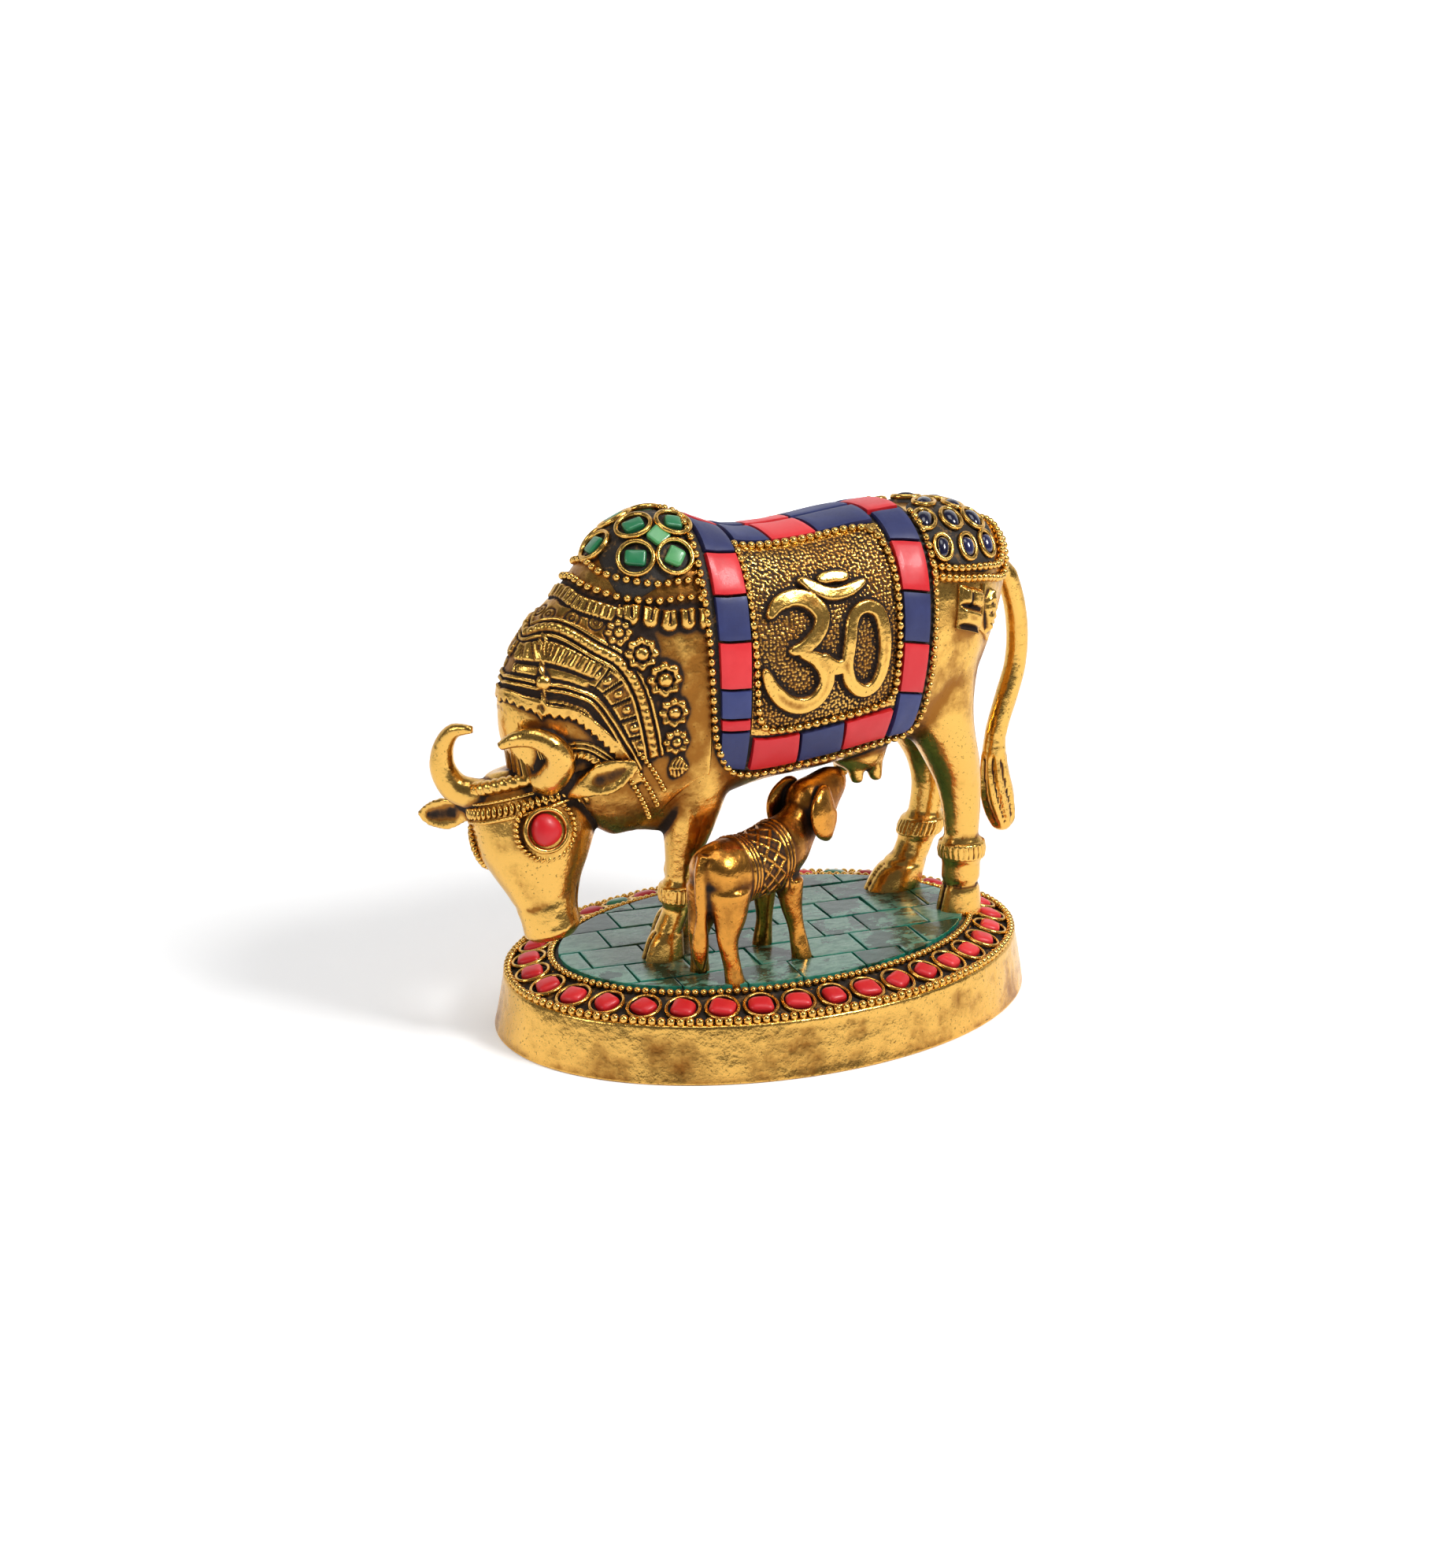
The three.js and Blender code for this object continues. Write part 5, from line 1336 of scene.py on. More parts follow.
def harness_height(points, normals, x, away):
    """Height of the chased harness over the neck on one flank."""
    height = np.zeros(len(points))
    rope, rope_run, rope_off = signed_line(points, normals, ROPE)
    strap, _, strap_off = signed_line(points, normals, STRAP)
    zigzag, zigzag_run, zigzag_off = signed_line(points, normals, ZIGZAG)
    collar, collar_run, collar_off = signed_line(points, normals, COLLAR)
    nape, nape_run, nape_off = signed_line(points, normals, NAPE)
    drop, drop_run, drop_off = signed_line(points, normals, DROPS)
    flute, flute_run, flute_off = signed_line(points, normals, FLUTES)

    def lay(shape, off=0.0):
        nonlocal height
        height = np.maximum(height, shape * step(off, 1.0, 0.2))

    # The rope band between its two wires
    squares = 0.62 + 0.38 * np.sqrt(np.abs(np.cos(np.pi * rope_run / 1.9 + 0.25 * rope)))
    lay(ridge(rope, 1.35, 1.15) * squares, rope_off)
    lay(ridge(rope + 2.2, 0.5, 0.8), rope_off)
    lay(ridge(rope - 2.2, 0.5, 0.8), rope_off)
    # Between the band and the strap: fringes above, squares with bosses below
    total = np.clip(rope - strap, 1, 99)
    share = np.clip(rope / total, -1, 2)
    inside = (rope > 2.6) & (strap < -0.8) & (rope_off <= 0)
    upper = step(away, 25, 23)
    fringe = 0.35 + 0.5 * np.sqrt(np.abs(np.cos(np.pi * rope_run / 1.75)))
    tier = step(share, 0.24, 0.28) * step(share, 0.66, 0.6)
    lay(inside * upper * tier * fringe)
    second = step(share, 0.7, 0.73) * step(share, 0.9, 0.87)
    lay(inside * upper * second * 0.35)
    cell = np.mod(rope_run + 1.0, SQUARE_PITCH) - SQUARE_PITCH / 2
    row = (share - 0.52) * total
    square = np.maximum(np.abs(cell) / 2.35, np.abs(row) / np.clip(total * 0.32, 1, 3))
    target = np.maximum(0.75 * step(square, 1.0, 0.9) - 0.35 * step(square, 0.86, 0.7), 0)
    boss = ridge(np.hypot(cell, row), 1.25, 1.1)
    lay(inside * (1 - upper) * np.maximum(target, boss))
    # The strap's wires, the row of teeth, the corded collar and the cord of the nape
    for offset, wide, tall in ((0, 0.45, 0.75), (1.5, 0.45, 0.7), (4.2, 0.35, 0.5)):
        lay(ridge(strap - offset, wide, tall), strap_off + step(zigzag, -0.5, 0) * 9)
    teeth = 1.05 * np.abs(np.mod(zigzag_run, 2.3) / 1.15 - 1)
    lay(0.6 * step(zigzag - teeth, 0.6, 0.4) * step(zigzag, -1.5, -1.2), zigzag_off)
    lay(ridge(zigzag + 1.5, 0.4, 0.75), zigzag_off)
    cords = 0.6 + 0.4 * np.abs(np.cos(np.pi * collar_run / 1.5 + 0.9 * collar))
    lay(ridge(collar, 1.25, 1.1) * cords, collar_off)
    lay(ridge(nape, 1.5, 1.2) * (0.6 + 0.4 * np.abs(np.cos(np.pi * nape_run / 1.7))), nape_off)
    lay(ridge(collar + 2.0, 0.5, 0.7), collar_off)
    lay(ridge(collar + 3.2, 0.4, 0.5), collar_off)
    # The slanting band with its clasp, and the scrolled plate above the flutes
    line = away - np.interp(-x, [57.4, 61.2], [6.6, 15])
    band = (x < -56.5) & (x > -62.6)
    lay(band * plateau(line, 1.1, 0.2) * (0.75 + 0.25 * np.cos(2 * np.pi * x / 0.9)))
    lay(ridge(np.linalg.norm(points - place(*CLASP), axis=1), 2.0, 1.6))
    plate = (rope < -2.6) & (flute > 1.8) & (away < 24)
    scallop = 0.8 * np.abs(np.sin(np.pi * flute_run / 6.5))
    lay(plate * step(flute, 1.9 + scallop, 2.4 + scallop) * 0.42)
    for spot in SCROLLS:
        gone = np.linalg.norm(points - place(*spot), axis=1)
        height = height - (groove(gone - 1.9, 0.32, 0.4) + groove(gone - 0.7, 0.3, 0.35)) * plate
    # The flutes and the hanging drops round the hump
    long_flutes = 0.3 + 0.65 * np.sqrt(np.abs(np.cos(np.pi * flute_run / 1.9)))
    lay(plateau(flute, 1.75, 0.25) * long_flutes, flute_off)
    cell = np.mod(drop_run, DROP_PITCH) - DROP_PITCH / 2
    lobe = np.where(drop < 0.6, np.abs(cell), np.hypot(cell, drop - 0.6))
    slit = groove(cell, 0.32, 0.9) * step(drop, 1.2, 0.2)
    reach = (drop > -2.6) & (drop < 3.4)
    lay(reach * np.maximum(ridge(lobe, 2.15, 1.7) - slit, 0), drop_off)
    # The rosettes, cut round with a groove, and the leaf below them
    for *spot, radius in BOSSES:
        to = points - place(*spot)
        gone, turn = np.linalg.norm(to, axis=1), np.arctan2(to[:, 2], to[:, 0])
        petals = radius * (1.02 + 0.1 * np.cos(8 * turn))
        low = height * step(gone, petals - 0.2, petals + 0.5)
        rim = ridge(gone - petals * 0.72, 1.1, 1.25) * (0.8 + 0.2 * np.cos(8 * turn))
        height = np.maximum(low - groove(gone - petals - 0.3, 0.35, 0.35), rim)
        height = np.maximum(height, ridge(gone, radius * 0.46, 1.7))
    worn = 0.85 + 0.15 * np.sin(0.9 * x + 0.5 * away) * np.sin(0.7 * away)
    return np.maximum(height, leaf_height(points, LEAF_ROOT, LEAF_TIP, LEAF_HALF)) * worn


def leaf_height(points, root, tip, half):
    """A pointed leaf between two places: half width as a sine, a midrib and slanting veins."""
    start, end = place(*root), place(*tip)
    ahead, to = unit(end - start), points - start
    reach = to @ ahead
    along = reach / np.linalg.norm(end - start)
    beside = np.linalg.norm(to - reach[:, None] * ahead, axis=1)
    wide = half * np.sin(np.pi * np.clip(along, 0, 1) ** 0.7)
    inside = step(beside, wide + 0.2, wide - 0.2) * (along > 0) * (along < 1)
    veins = 0.2 * np.cos(2 * np.pi * (along * 5 - beside * 0.35))
    return inside * (0.75 + veins + 0.35 * bump(beside, 0, 0.4))


def neck_harness():
    """The chased harness: a patch over the neck, the same on both flanks."""
    head_end, hump_end, reach = -69.5, -27.9, 80.0
    shares = np.interp([-hump_end, -head_end], -MIDDLE_X[:1100], SHARES[:1100])
    x = row_at(TRUNK, np.linspace(*shares, 190))[:, [0, 2]].mean(1)
    x, away = np.meshgrid(x, np.linspace(0, reach, 212), indexing="ij")
    points, normals = place(x, away).reshape(-1, 3), normal_at(x, away).reshape(-1, 3)
    height = harness_height(points, normals, x.ravel(), away.ravel()).reshape(x.shape)
    fade = step(away, reach, reach - 3)
    around = height
    for shift in (1, 2, 3, 4):
        around = sum(np.roll(around, way * shift, k) for way in (-1, 0, 1) for k in (0, 1)) / 6
    rubbed = 0.5 - 0.42 * np.clip(1.6 * around - height, 0, 1)
    lift = 0.22 * fade + 1.3 * height - 0.5 * (1 - fade)
    lift[0], lift[-1], lift[:, -1] = -0.9, -0.9, -0.9
    x, lift, rubbed, away = (
        np.concatenate([way * grid[:, :0:-1], grid], 1)
        for way, grid in ((1, x), (1, lift), (1, rubbed), (-1, away))
    )
    shell = Shell()
    shell.patch(place(x, away, lift), rubbed.ravel())
    return shell.build("neck_harness", finish("brass"))


THROAT_ROWS = [
    [(-51.9, 53.5), (-49.8, 62.4), (-47, 74)],
    [(-50.2, 52.5), (-47.6, 62), (-44.6, 73)],
    [(-48.3, 52), (-45.4, 61), (-42.4, 71)],
]


def neck_beads():
    """Bead rows below the hump and the bead strings of the throat."""
    shell = Shell()
    for side in (1, -1):
        for line in BEAD_ROWS:
            beads_along(shell, [spot for spot in line if spot[1] >= 0], side, 1.08, 2.65, 0.85)
        for line in THROAT_ROWS:
            beads_along(shell, line, side, 0.8, 1.55, 0.5)
    return shell.build("neck_beads", finish("beads"))


# Head ornament


def rope(shell, points, normals, radius, pitch, sides=12):
    """A twisted rope along points: its section swells by |cos| of the length less the turn."""
    tangent = unit(np.gradient(points, axis=0))
    across = np.cross(tangent, normals)
    gone, turn = running(points), circle(sides)
    swell = np.sqrt(np.abs(np.cos(np.pi * gone[:, None] / pitch + 0.5 * turn[None])))
    size = radius * (0.78 + 0.24 * swell)
    rings = points[:, None] + (size * np.cos(turn))[..., None] * across[:, None]
    shell.grid(rings + (size * np.sin(turn))[..., None] * normals[:, None])


def brow_bands():
    """The rope between the horns and the hatched band of beads below it."""
    shell = Shell()
    turns = np.linspace(12, 168, 150)
    rope(shell, skull(-2.2, turns, 0.7), skull_normal(-2.2, turns), 2.1, 2.4, 16)
    turns = np.linspace(-8, 188, 240)
    down = 3.0 + 0.6 * np.sin(np.radians(turns))
    for offset in (-2.2, 2.2):
        centres = skull(down + offset, turns, 0.25)
        rope(shell, centres, skull_normal(down + offset, turns), 0.5, 1.4, 8)
    gone = running(skull(down, turns, 0.35))
    at = np.arange(0.6, gone[-1], 1.75)
    turn, low = np.interp(at, gone, turns), np.interp(at, gone, down)
    normals = skull_normal(low, turn)
    beads(shell, skull(low, turn, 0.3), normals, -HEAD_DOWN + 0 * normals, 0.74, (2.3, 1.0, 1.1))
    return shell.build("brow_bands", finish("beads"))


def anklets():
    """A ridged ring round each leg, with plain wires above and below it."""
    shell = Shell()
    z = np.array([14.7, 15.2, 15.6, 16.0, 17.5, 19.0, 19.4, 19.8, 20.3])
    out = np.array([-0.8, 0.5, 0.75, 0.35, 0.6, 0.35, 0.75, 0.5, -0.8])
    ridged = np.array([0, 0, 0, 1, 1, 1, 0, 0, 0])
    turn = circle(160)
    ridges = 0.45 * np.sqrt(np.abs(np.cos(13 * turn)))
    size = out[:, None] + ridges * ridged[:, None]
    for table, x, y, bow in LEGS:
        rows = np.array(table, float)
        ahead, beside, rx, ry = (np.interp(z, rows[:, 2], rows[:, k]) for k in (0, 1, 3, 4))
        px = x + ahead + bow * np.sin(np.pi * z / LEG_TOP)
        px = px[:, None] + (rx[:, None] + size) * np.cos(turn)
        py = (y + np.sign(y) * beside)[:, None] + (ry[:, None] + size) * np.sin(turn)
        shell.grid(np.stack([px, py, (GROUND + z)[:, None] + 0 * px], -1))
    return shell.build("anklets", finish("brass"))


# Rump ornament

RUMP_BEADS = [
    [(35.9, 27.0), (42, 27.8), (49, 26.4), (56, 23), (59.5, 18), (60.5, 9), (60.8, 0)],
    [(35.9, 29.6), (42.5, 30.4), (50, 28.9), (57.6, 25.2), (61.7, 19), (62.8, 9), (63.0, 0)],
]
# Plates: the range of x, the range away from the back, and whether it bears a leaf
RUMP_PLATES = [(43.4, 51.4, 32.0, 43.5, False), (51.9, 57.9, 29.8, 42.0, True)]


def rump_plates():
    """Two hanging plates below the rump's beads, chased with bars and with a leaf."""
    shell = Shell()
    for side in (1, -1):
        for low, high, top, bottom, leafy in RUMP_PLATES:
            x, away, edge = patch_grid(low, high, top, bottom, 0.3)
            u, v = (x - low) / (high - low), (away - top) / (bottom - top)
            if leafy:
                leaf = np.abs(u - 0.5) - 0.42 * np.sin(np.pi * v**0.8)
                veins = 0.2 * np.cos(2 * np.pi * (5 * v - 2 * np.abs(u - 0.5)))
                pattern = step(leaf, 0.04, -0.14) * (1.3 + veins + 0.3 * bump(u, 0.5, 0.07))
            else:
                bars = np.abs(np.mod(v * 2.2, 1) - 0.5)
                across = np.minimum(u, 1 - u) * (high - low)
                bricks = np.sqrt(step(bars, 0.48, 0.2) * step(across, 0.1, 1.6))
                pattern = 1.7 * bricks - 0.9 * bump(u, 0.42, 0.06) * (v < 0.45)
            shell.patch(place(x, side * away, np.where(edge, -0.8, 0.8 + pattern)))
    return shell.build("rump_plates", finish("brass"))


def rump_beads():
    """Two bead rows round the stones of the rump."""
    shell = Shell()
    for side in (1, -1):
        for line in RUMP_BEADS:
            beads_along(shell, line, side, 1.15, 2.2, 0.8)
    return shell.build("rump_beads", finish("beads"))


# Plinth


def oval(inset, angle, z):
    """Point of the plinth's oval, moved in by inset, at an angle and a height."""
    inset, angle, z = np.broadcast_arrays(inset, angle, z)
    x = (BASE_HALF[0] - inset) * np.cos(angle)
    return np.stack([x, (BASE_HALF[1] - inset) * np.sin(angle), z], -1)


def rim_height(inset):
    """Height of the rim's slope at a distance in from the top edge."""
    return BASE_HEIGHT + RIM_RISE * np.asarray(inset, float) / RIM_WIDTH


def even_angles(inset, count, shift=0.0):
    """Angles that part an oval into equal lengths, by its running length."""
    fine = np.linspace(0, 2 * np.pi, 2001)
    line = oval(inset, fine, 0.0)
    gone = running(line)
    return np.interp((np.arange(count) + shift) / count * gone[-1], gone, fine)


PLINTH_PROFILE = [
    (-2.3, 0.0),
    (-2.6, 0.35),
    (-2.35, 1.6),
    (-1.2, 8.0),
    (-0.1, 13.9),
    (0.1, 14.7),
    (0.5, 15.05),
    (1.2, 15.15),
    (2.2, 15.1),
    (2.5, 14.7),
]


def plinth_points():
    """Profile of (inset, height) carried round the oval, with slow unevenness on the wall."""
    lip = RIM_WIDTH - 2.4
    floor = [[lip, rim_height(lip) - 0.6], [RIM_WIDTH + 0.6, BED + 0.4]]
    inset, z = np.concatenate([curve(PLINTH_PROFILE, 0.45), floor]).T[..., None]
    angle = circle(360)
    dent = 0.12 * np.sin(3 * angle + 0.6) + 0.08 * np.sin(7 * angle) + 0.05 * np.sin(11 * angle + 2)
    return oval(inset + dent * step(z, 0.2, 3) * step(z, 15, 12), angle, z)


def rim_bed():
    """The dark wax of the channel, a sunken band with a faint swell between its edges."""
    angle = circle(240)
    inset = np.linspace(1.6, RIM_WIDTH - 0.6, 22)[:, None]
    grains = speckle(inset + 0 * angle, angle * 60, 1.3)
    return oval(inset, angle, rim_height(inset) - 0.35 - 0.35 * (1 - grains))


def plinth_body():
    """The plinth: its profile carried round the oval and closed below and inside."""
    shell = Shell()
    shell.grid(plinth_points(), tint=PLINTH_TINT)
    return shell.build("plinth_body", finish("brass"), 50)


def rim_channel():
    """The wax band of the rim, closed underneath."""
    points = rim_bed()
    low = points.copy()
    low[..., 2] = BASE_HEIGHT - 1.5
    ring = np.concatenate([low[:1], points, low[-1:], low[:1]])
    rows, columns = ring.shape[:2]
    quads = grid_quads(rows, columns, True) % ((rows - 1) * columns)
    shell = Shell()
    shell.add(ring[:-1].reshape(-1, 3), quads)
    return shell.build("rim_channel", finish("lac"))


def rim_axes(angle):
    """Normals of the rim's slope and its directions inwards."""
    point = oval(0, angle, 0.0)
    inwards = unit(oval(1, angle, 0.0) - point)
    slope = RIM_RISE / RIM_WIDTH
    rise = np.array([0, 0, 1.0])
    return unit(rise - slope * inwards), unit(inwards + slope * rise)


def rim_beads():
    """The two bead rows of the rim, at its outer and its inner edge."""
    shell = Shell()
    outer = bpy.context.scene.statue.rim_bead / MM
    for inset, radius, pitch in ((1.25, outer, 2.42), (RIM_WIDTH - 1.5, 1.0, 2.15)):
        length = running(oval(inset, np.linspace(0, 2 * np.pi, 2001), 0.0))[-1]
        angle = even_angles(inset, int(round(length / pitch)))
        normals, _ = rim_axes(angle)
        centres = oval(inset, angle, rim_height(inset) + 0.5)
        beads(shell, centres, normals, unit(np.roll(centres, -1, 0) - centres), radius)
    return shell.build("rim_beads", finish("beads"))


def rim_places():
    """Centre, normal and inward direction of each coral of the rim."""
    angle = even_angles(CORAL_INSET, bpy.context.scene.statue.rim_stones, 0.5)
    normals, inwards = rim_axes(angle)
    return oval(CORAL_INSET, angle, rim_height(CORAL_INSET)), normals, inwards


def rim_settings():
    """Oval wires round the corals, nearly touching."""
    centres, normals, inwards = rim_places()
    shell = Shell()
    number = np.arange(len(centres))
    half = np.stack([4.45 + 0.2 * scatter(number, 3.0), 4.1 + 0.25 * scatter(number, 4.0)], 1)
    bezels(shell, centres + 0.25 * normals, normals, inwards, half, 0.5, 32)
    return shell.build("rim_settings", finish("beads"))


def rim_corals():
    """Rounded corals and, behind the cow, two green stones: superellipse outlines, domed."""
    centres, normals, inwards = rim_places()
    number = np.arange(len(centres))
    half = np.stack([2.65 + 0.5 * scatter(number, 7.0), 2.8 + 0.5 * scatter(number, 8.0)], 1)
    sideways = np.cross(normals, inwards)
    turned = inwards + (scatter(number, 9.0) - 0.5)[:, None] * 0.9 * sideways
    shells = Shell(), Shell()
    green = np.isin(number, GREEN_PLACES)
    for shell, chosen in zip(shells, (~green, green)):
        parts = (grid[chosen] for grid in (centres, normals, turned, half))
        cabochons(shell, *parts, CORAL_RISE, 3.4, 3.0)
    coral = shells[0].build("rim_corals", finish("coral"))
    shells[1].build("rim_greens", finish("green_stone"))
    return coral


MOSAIC_TURN = math.radians(-7)
MOSAIC_ROW, MOSAIC_LENGTH, MOSAIC_JOINT = 13.0, 16.0, 0.45
# Edge of a chip: distances in from its outline, and heights from its top
CHIP_EDGE = [(0, BED + 0.2 - GROUND), (0.02, -0.4), (0.08, -0.07), (0.2, -0.01), (0.9, 0), (1.8, 0)]


def mosaic_chips():
    """Green chips in rows, staggered: each a polygon cut by the oval, its edges broken off."""
    along = np.array([math.cos(MOSAIC_TURN), math.sin(MOSAIC_TURN)])
    slant = np.array([-along[1], along[0]])
    shell = Shell()
    half = BASE_HALF - RIM_WIDTH - 0.5
    gap = MOSAIC_JOINT / 2
    for row in range(-5, 5):
        shift = MOSAIC_LENGTH * 0.55 * (row % 2) + 4 * scatter(row, 1.0)
        low, high = row * MOSAIC_ROW + gap, (row + 1) * MOSAIC_ROW - gap
        for column in range(-6, 7):
            seed = row * 31.7 + column
            start, end = (
                (column + k) * MOSAIC_LENGTH + shift + 3.4 * scatter(seed + k, 2.0) for k in (0, 1)
            )
            start, end = start + gap, end - gap
            corners = [(start, low), (end, low), (end, high), (start, high)]
            clipped = clip_to_oval(np.array([along * u + slant * h for u, h in corners]), half)
            if clipped is not None:
                chip(shell, clipped, seed)
    return shell.build("mosaic_chips", finish("malachite"), 30)


def clip_to_oval(outline, half):
    """The part of a convex outline inside the oval, as 64 points round it, or nothing: a point
    outside is drawn to the middle as far as the root of the oval's quadratic on that line."""
    middle = outline.mean(0)
    reach = ((outline / half) ** 2).sum(1)
    beyond = ((middle / half) ** 2).sum()
    if reach.min() >= 1 and beyond >= 1:
        return None
    middle = middle * min(1, math.sqrt(0.985 / max(beyond, 1e-6)))  # just inside the oval
    share = np.arange(16)[None, :, None] / 16
    edge = outline[:, None] + (np.roll(outline, -1, 0) - outline)[:, None] * share
    gone = edge.reshape(-1, 2) - middle
    m, g = middle / half, gone / half
    a, b, c = (g * g).sum(1), (g * m).sum(1), (m * m).sum() - 1
    root = (np.sqrt(b * b - a * c) - b) / np.maximum(a, 1e-9)
    edge = middle + gone * np.minimum(root, 1)[:, None]
    area = 0.5 * np.cross(edge, np.roll(edge, -1, 0)).sum()
    return edge if abs(area) > 4 else None


def chip(shell, outline, seed):
    """One chip: rings drawn in to its middle, the outer ones rounded down to the bed."""
    middle = outline.mean(0)
    gone = outline - middle
    reach = np.maximum(np.linalg.norm(gone, axis=1), 2)
    lean = [0.035 * (scatter(seed, k) - 0.5) for k in (5.0, 6.0)]
    top = GROUND + 0.18 * (scatter(seed, 7.0) - 0.5)
    number = np.arange(len(outline))
    first, second = (len(outline) * scatter(seed, k) for k in (11.0, 12.0))
    broken = bump(number, first, 3.5) + bump(number, second, 2.5)
    chipped = np.maximum(0.12 * np.sin(number * 1.7 + seed) + 1.1 * broken, 0)
    rings = []
    for inset, drop in CHIP_EDGE:
        scale = 1 - (inset + chipped * (inset > 0.1)) / reach
        flat = middle + gone * np.clip(scale, 0.15, 1)[:, None]
        rings.append([flat, drop + (flat - middle) @ lean * (inset > 0)])
    for share in (0.6, 0.25):
        flat = middle + (rings[len(CHIP_EDGE) - 1][0] - middle) * share
        wave = 0.05 * np.sin(flat[:, 0] * 0.9 + seed) * np.sin(flat[:, 1] * 1.1 + seed)
        rings.append([flat, 0.03 + wave + (flat - middle) @ lean])
    points = [np.column_stack([flat, top + rise]) for flat, rise in rings]
    shell.grid(np.array(points), tint=scatter(seed, 9.0))


def mosaic_bed():
    """Dark bed between the chips: a flat oval lens."""
    shell = Shell()
    inset = np.array([RIM_WIDTH - 0.4, RIM_WIDTH - 0.4, RIM_WIDTH, 26, 40])[:, None]
    z = np.array([BED - 0.6, GROUND - 1.2, GROUND - 1.05, GROUND - 1.0, GROUND - 1.0])[:, None]
    shell.grid(oval(inset, circle(120), z))
    return shell.build("mosaic_bed", finish("lac"))


# Stones set in the cow

HUMP_STONES = [(-36.9, 5.2), (-29.9, 8.4), (-39.4, 13.2), (-32.4, 17.8)]
HUMP_MIDDLE = (-43.0, 0)
HUMP_DIAMONDS = [(-34.1, 11.4)]
RUMP_STONES = [(37.6, 13.2), (44.9, 13.0), (51.8, 11.2)]
RUMP_LESSER = [(42, 4.3), (49.9, 4.4), (39.4, 22.2), (46.9, 21.4), (53.4, 18.6)]
HUMP_RADIUS, RUMP_RADIUS, LESSER_RADIUS = (4.45, 4.45), (3.0, 4.0), (2.7, 3.7)
HUMP_RISE, RUMP_RISE, LESSER_RISE = 1.2, 1.7, 1.6
# Wax beds: middle and reach of each, as (x, away)
STONE_BEDS = [((-36.0, 10.5), (9.0, 12.6)), ((46.8, 13.4), (11.2, 14.4))]
EYE_STONE, EYE_WIRE, EYE_BEADS = 4.2, 5.4, 7.6


def skin_patch(shell, centre, reach):
    """A raised oval patch of the skin: a superellipse of places, grained, its edge sunk."""
    share = np.array([1.0, 0.985, 0.96, 0.9, 0.75, 0.55, 0.35, 0.15])[:, None]
    lift = np.array([-0.8, 0.1, 0.55, 0.8, 0.85, 0.85, 0.85, 0.85])[:, None] * 0.8
    angle = circle(64)
    x = centre[0] + reach[0] * share * power(np.cos(angle), 2 / 2.6)
    away = centre[1] + reach[1] * share * power(np.sin(angle), 2 / 2.6)
    shell.grid(place(x, away, lift + 0.12 * speckle(x, away, 0.7) * (share < 0.95)))


def set_stones(wires, stones, places, radius, rise, cut):
    """Stones in round wires at places of the skin: turned square chips if cut, else ovals."""
    x, away = np.array(places, float).T
    centres, normals = place(x, away, 0.9), normal_at(x, away)
    forward = np.array([1.0, 0, 0] if cut else [0.25, 0, 0.97])
    wide, tall = radius
    wire = bpy.context.scene.statue.stone_wire / MM
    bezels(wires, centres + 0.25 * normals, normals, forward, (tall, wide), wire, 32)
    if cut:
        turned = unit(np.column_stack([np.cos(0.6 + 1.3 * x), 0 * x, np.sin(0.6 + 1.3 * x)]))
        chips = np.stack([2.35 + 0.25 * np.sin(3 * x), 2.2 + 0.2 * np.cos(5 * x)], 1)
        cabochons(stones, centres, normals, turned, chips, rise, 6.0, 5.0)
    else:
        cabochons(stones, centres, normals, forward, (tall - 0.75, wide - 0.7), rise, 2.2)


def body_stones():
    """Green stones of the hump and dark ones of the rump, with their wires and wax beds."""
    bed, wires, green, dark = Shell(), Shell(), Shell(), Shell()
    for side in (1, -1):
        for (x, away), reach in STONE_BEDS:
            skin_patch(bed, (x, side * away), reach)
        for stones, places, radius, rise in (
            (green, HUMP_STONES, HUMP_RADIUS, HUMP_RISE),
            (dark, RUMP_STONES, RUMP_RADIUS, RUMP_RISE),
            (dark, RUMP_LESSER, LESSER_RADIUS, LESSER_RISE),
        ):
            places = [(x, side * away) for x, away in places]
            set_stones(wires, stones, places, radius, rise, stones is green)
        x, away = np.array(HUMP_DIAMONDS).T
        spots, facing = place(x, side * away, 1.0), normal_at(x, side * away)
        cabochons(green, spots, facing, np.array([0.7, 0, 0.7]), (2.3, 2.3), 0.9, 8.0, 6.0, 3.0)
    set_stones(wires, green, [HUMP_MIDDLE], HUMP_RADIUS, HUMP_RISE, True)
    bed.build("stone_beds", finish("lac"))
    wires.build("stone_wires", finish("beads"))
    green.build("hump_stones", finish("green_stone"), 35)
    dark.build("rump_stones", finish("onyx"), 35)


def eyes():
    """The red eye stones in their wires and roped rings."""
    wires, stones = Shell(), Shell()
    for side, (spot, facing) in enumerate(EYES):
        normal = unit(facing @ HEAD_AXES)[None]
        centre = on_head(*spot)[None] - 0.6 * normal
        bezels(wires, centre + 1.2 * normal, normal, HEAD_DOWN, EYE_WIRE, 0.72, 40)
        cabochons(stones, centre + 0.6 * normal, normal, HEAD_DOWN, EYE_STONE, 2.7, seed=side)
        across, along = frames_for(normal, HEAD_DOWN)
        cos, sin = np.cos(circle(34))[:, None], np.sin(circle(34))[:, None]
        outwards = cos * across + sin * along
        slanted = unit(0.75 * (cos * along - sin * across) + 0.6 * outwards)
        ring = centre + EYE_BEADS * outwards
        beads(wires, ring, normal + 0 * ring, slanted, 0.95, (0.62, 1.25, 1.0))
    wires.build("eye_settings", finish("beads"))
    stones.build("eye_stones", finish("coral"))


# The calf

CALF_FOOT = np.array([-29, -26, GROUND])
CALF_TURN = math.radians(20)
CALF_FORWARD = np.array([math.cos(CALF_TURN), math.sin(CALF_TURN), 0])
CALF_RIGHT = np.array([math.sin(CALF_TURN), -math.cos(CALF_TURN), 0])
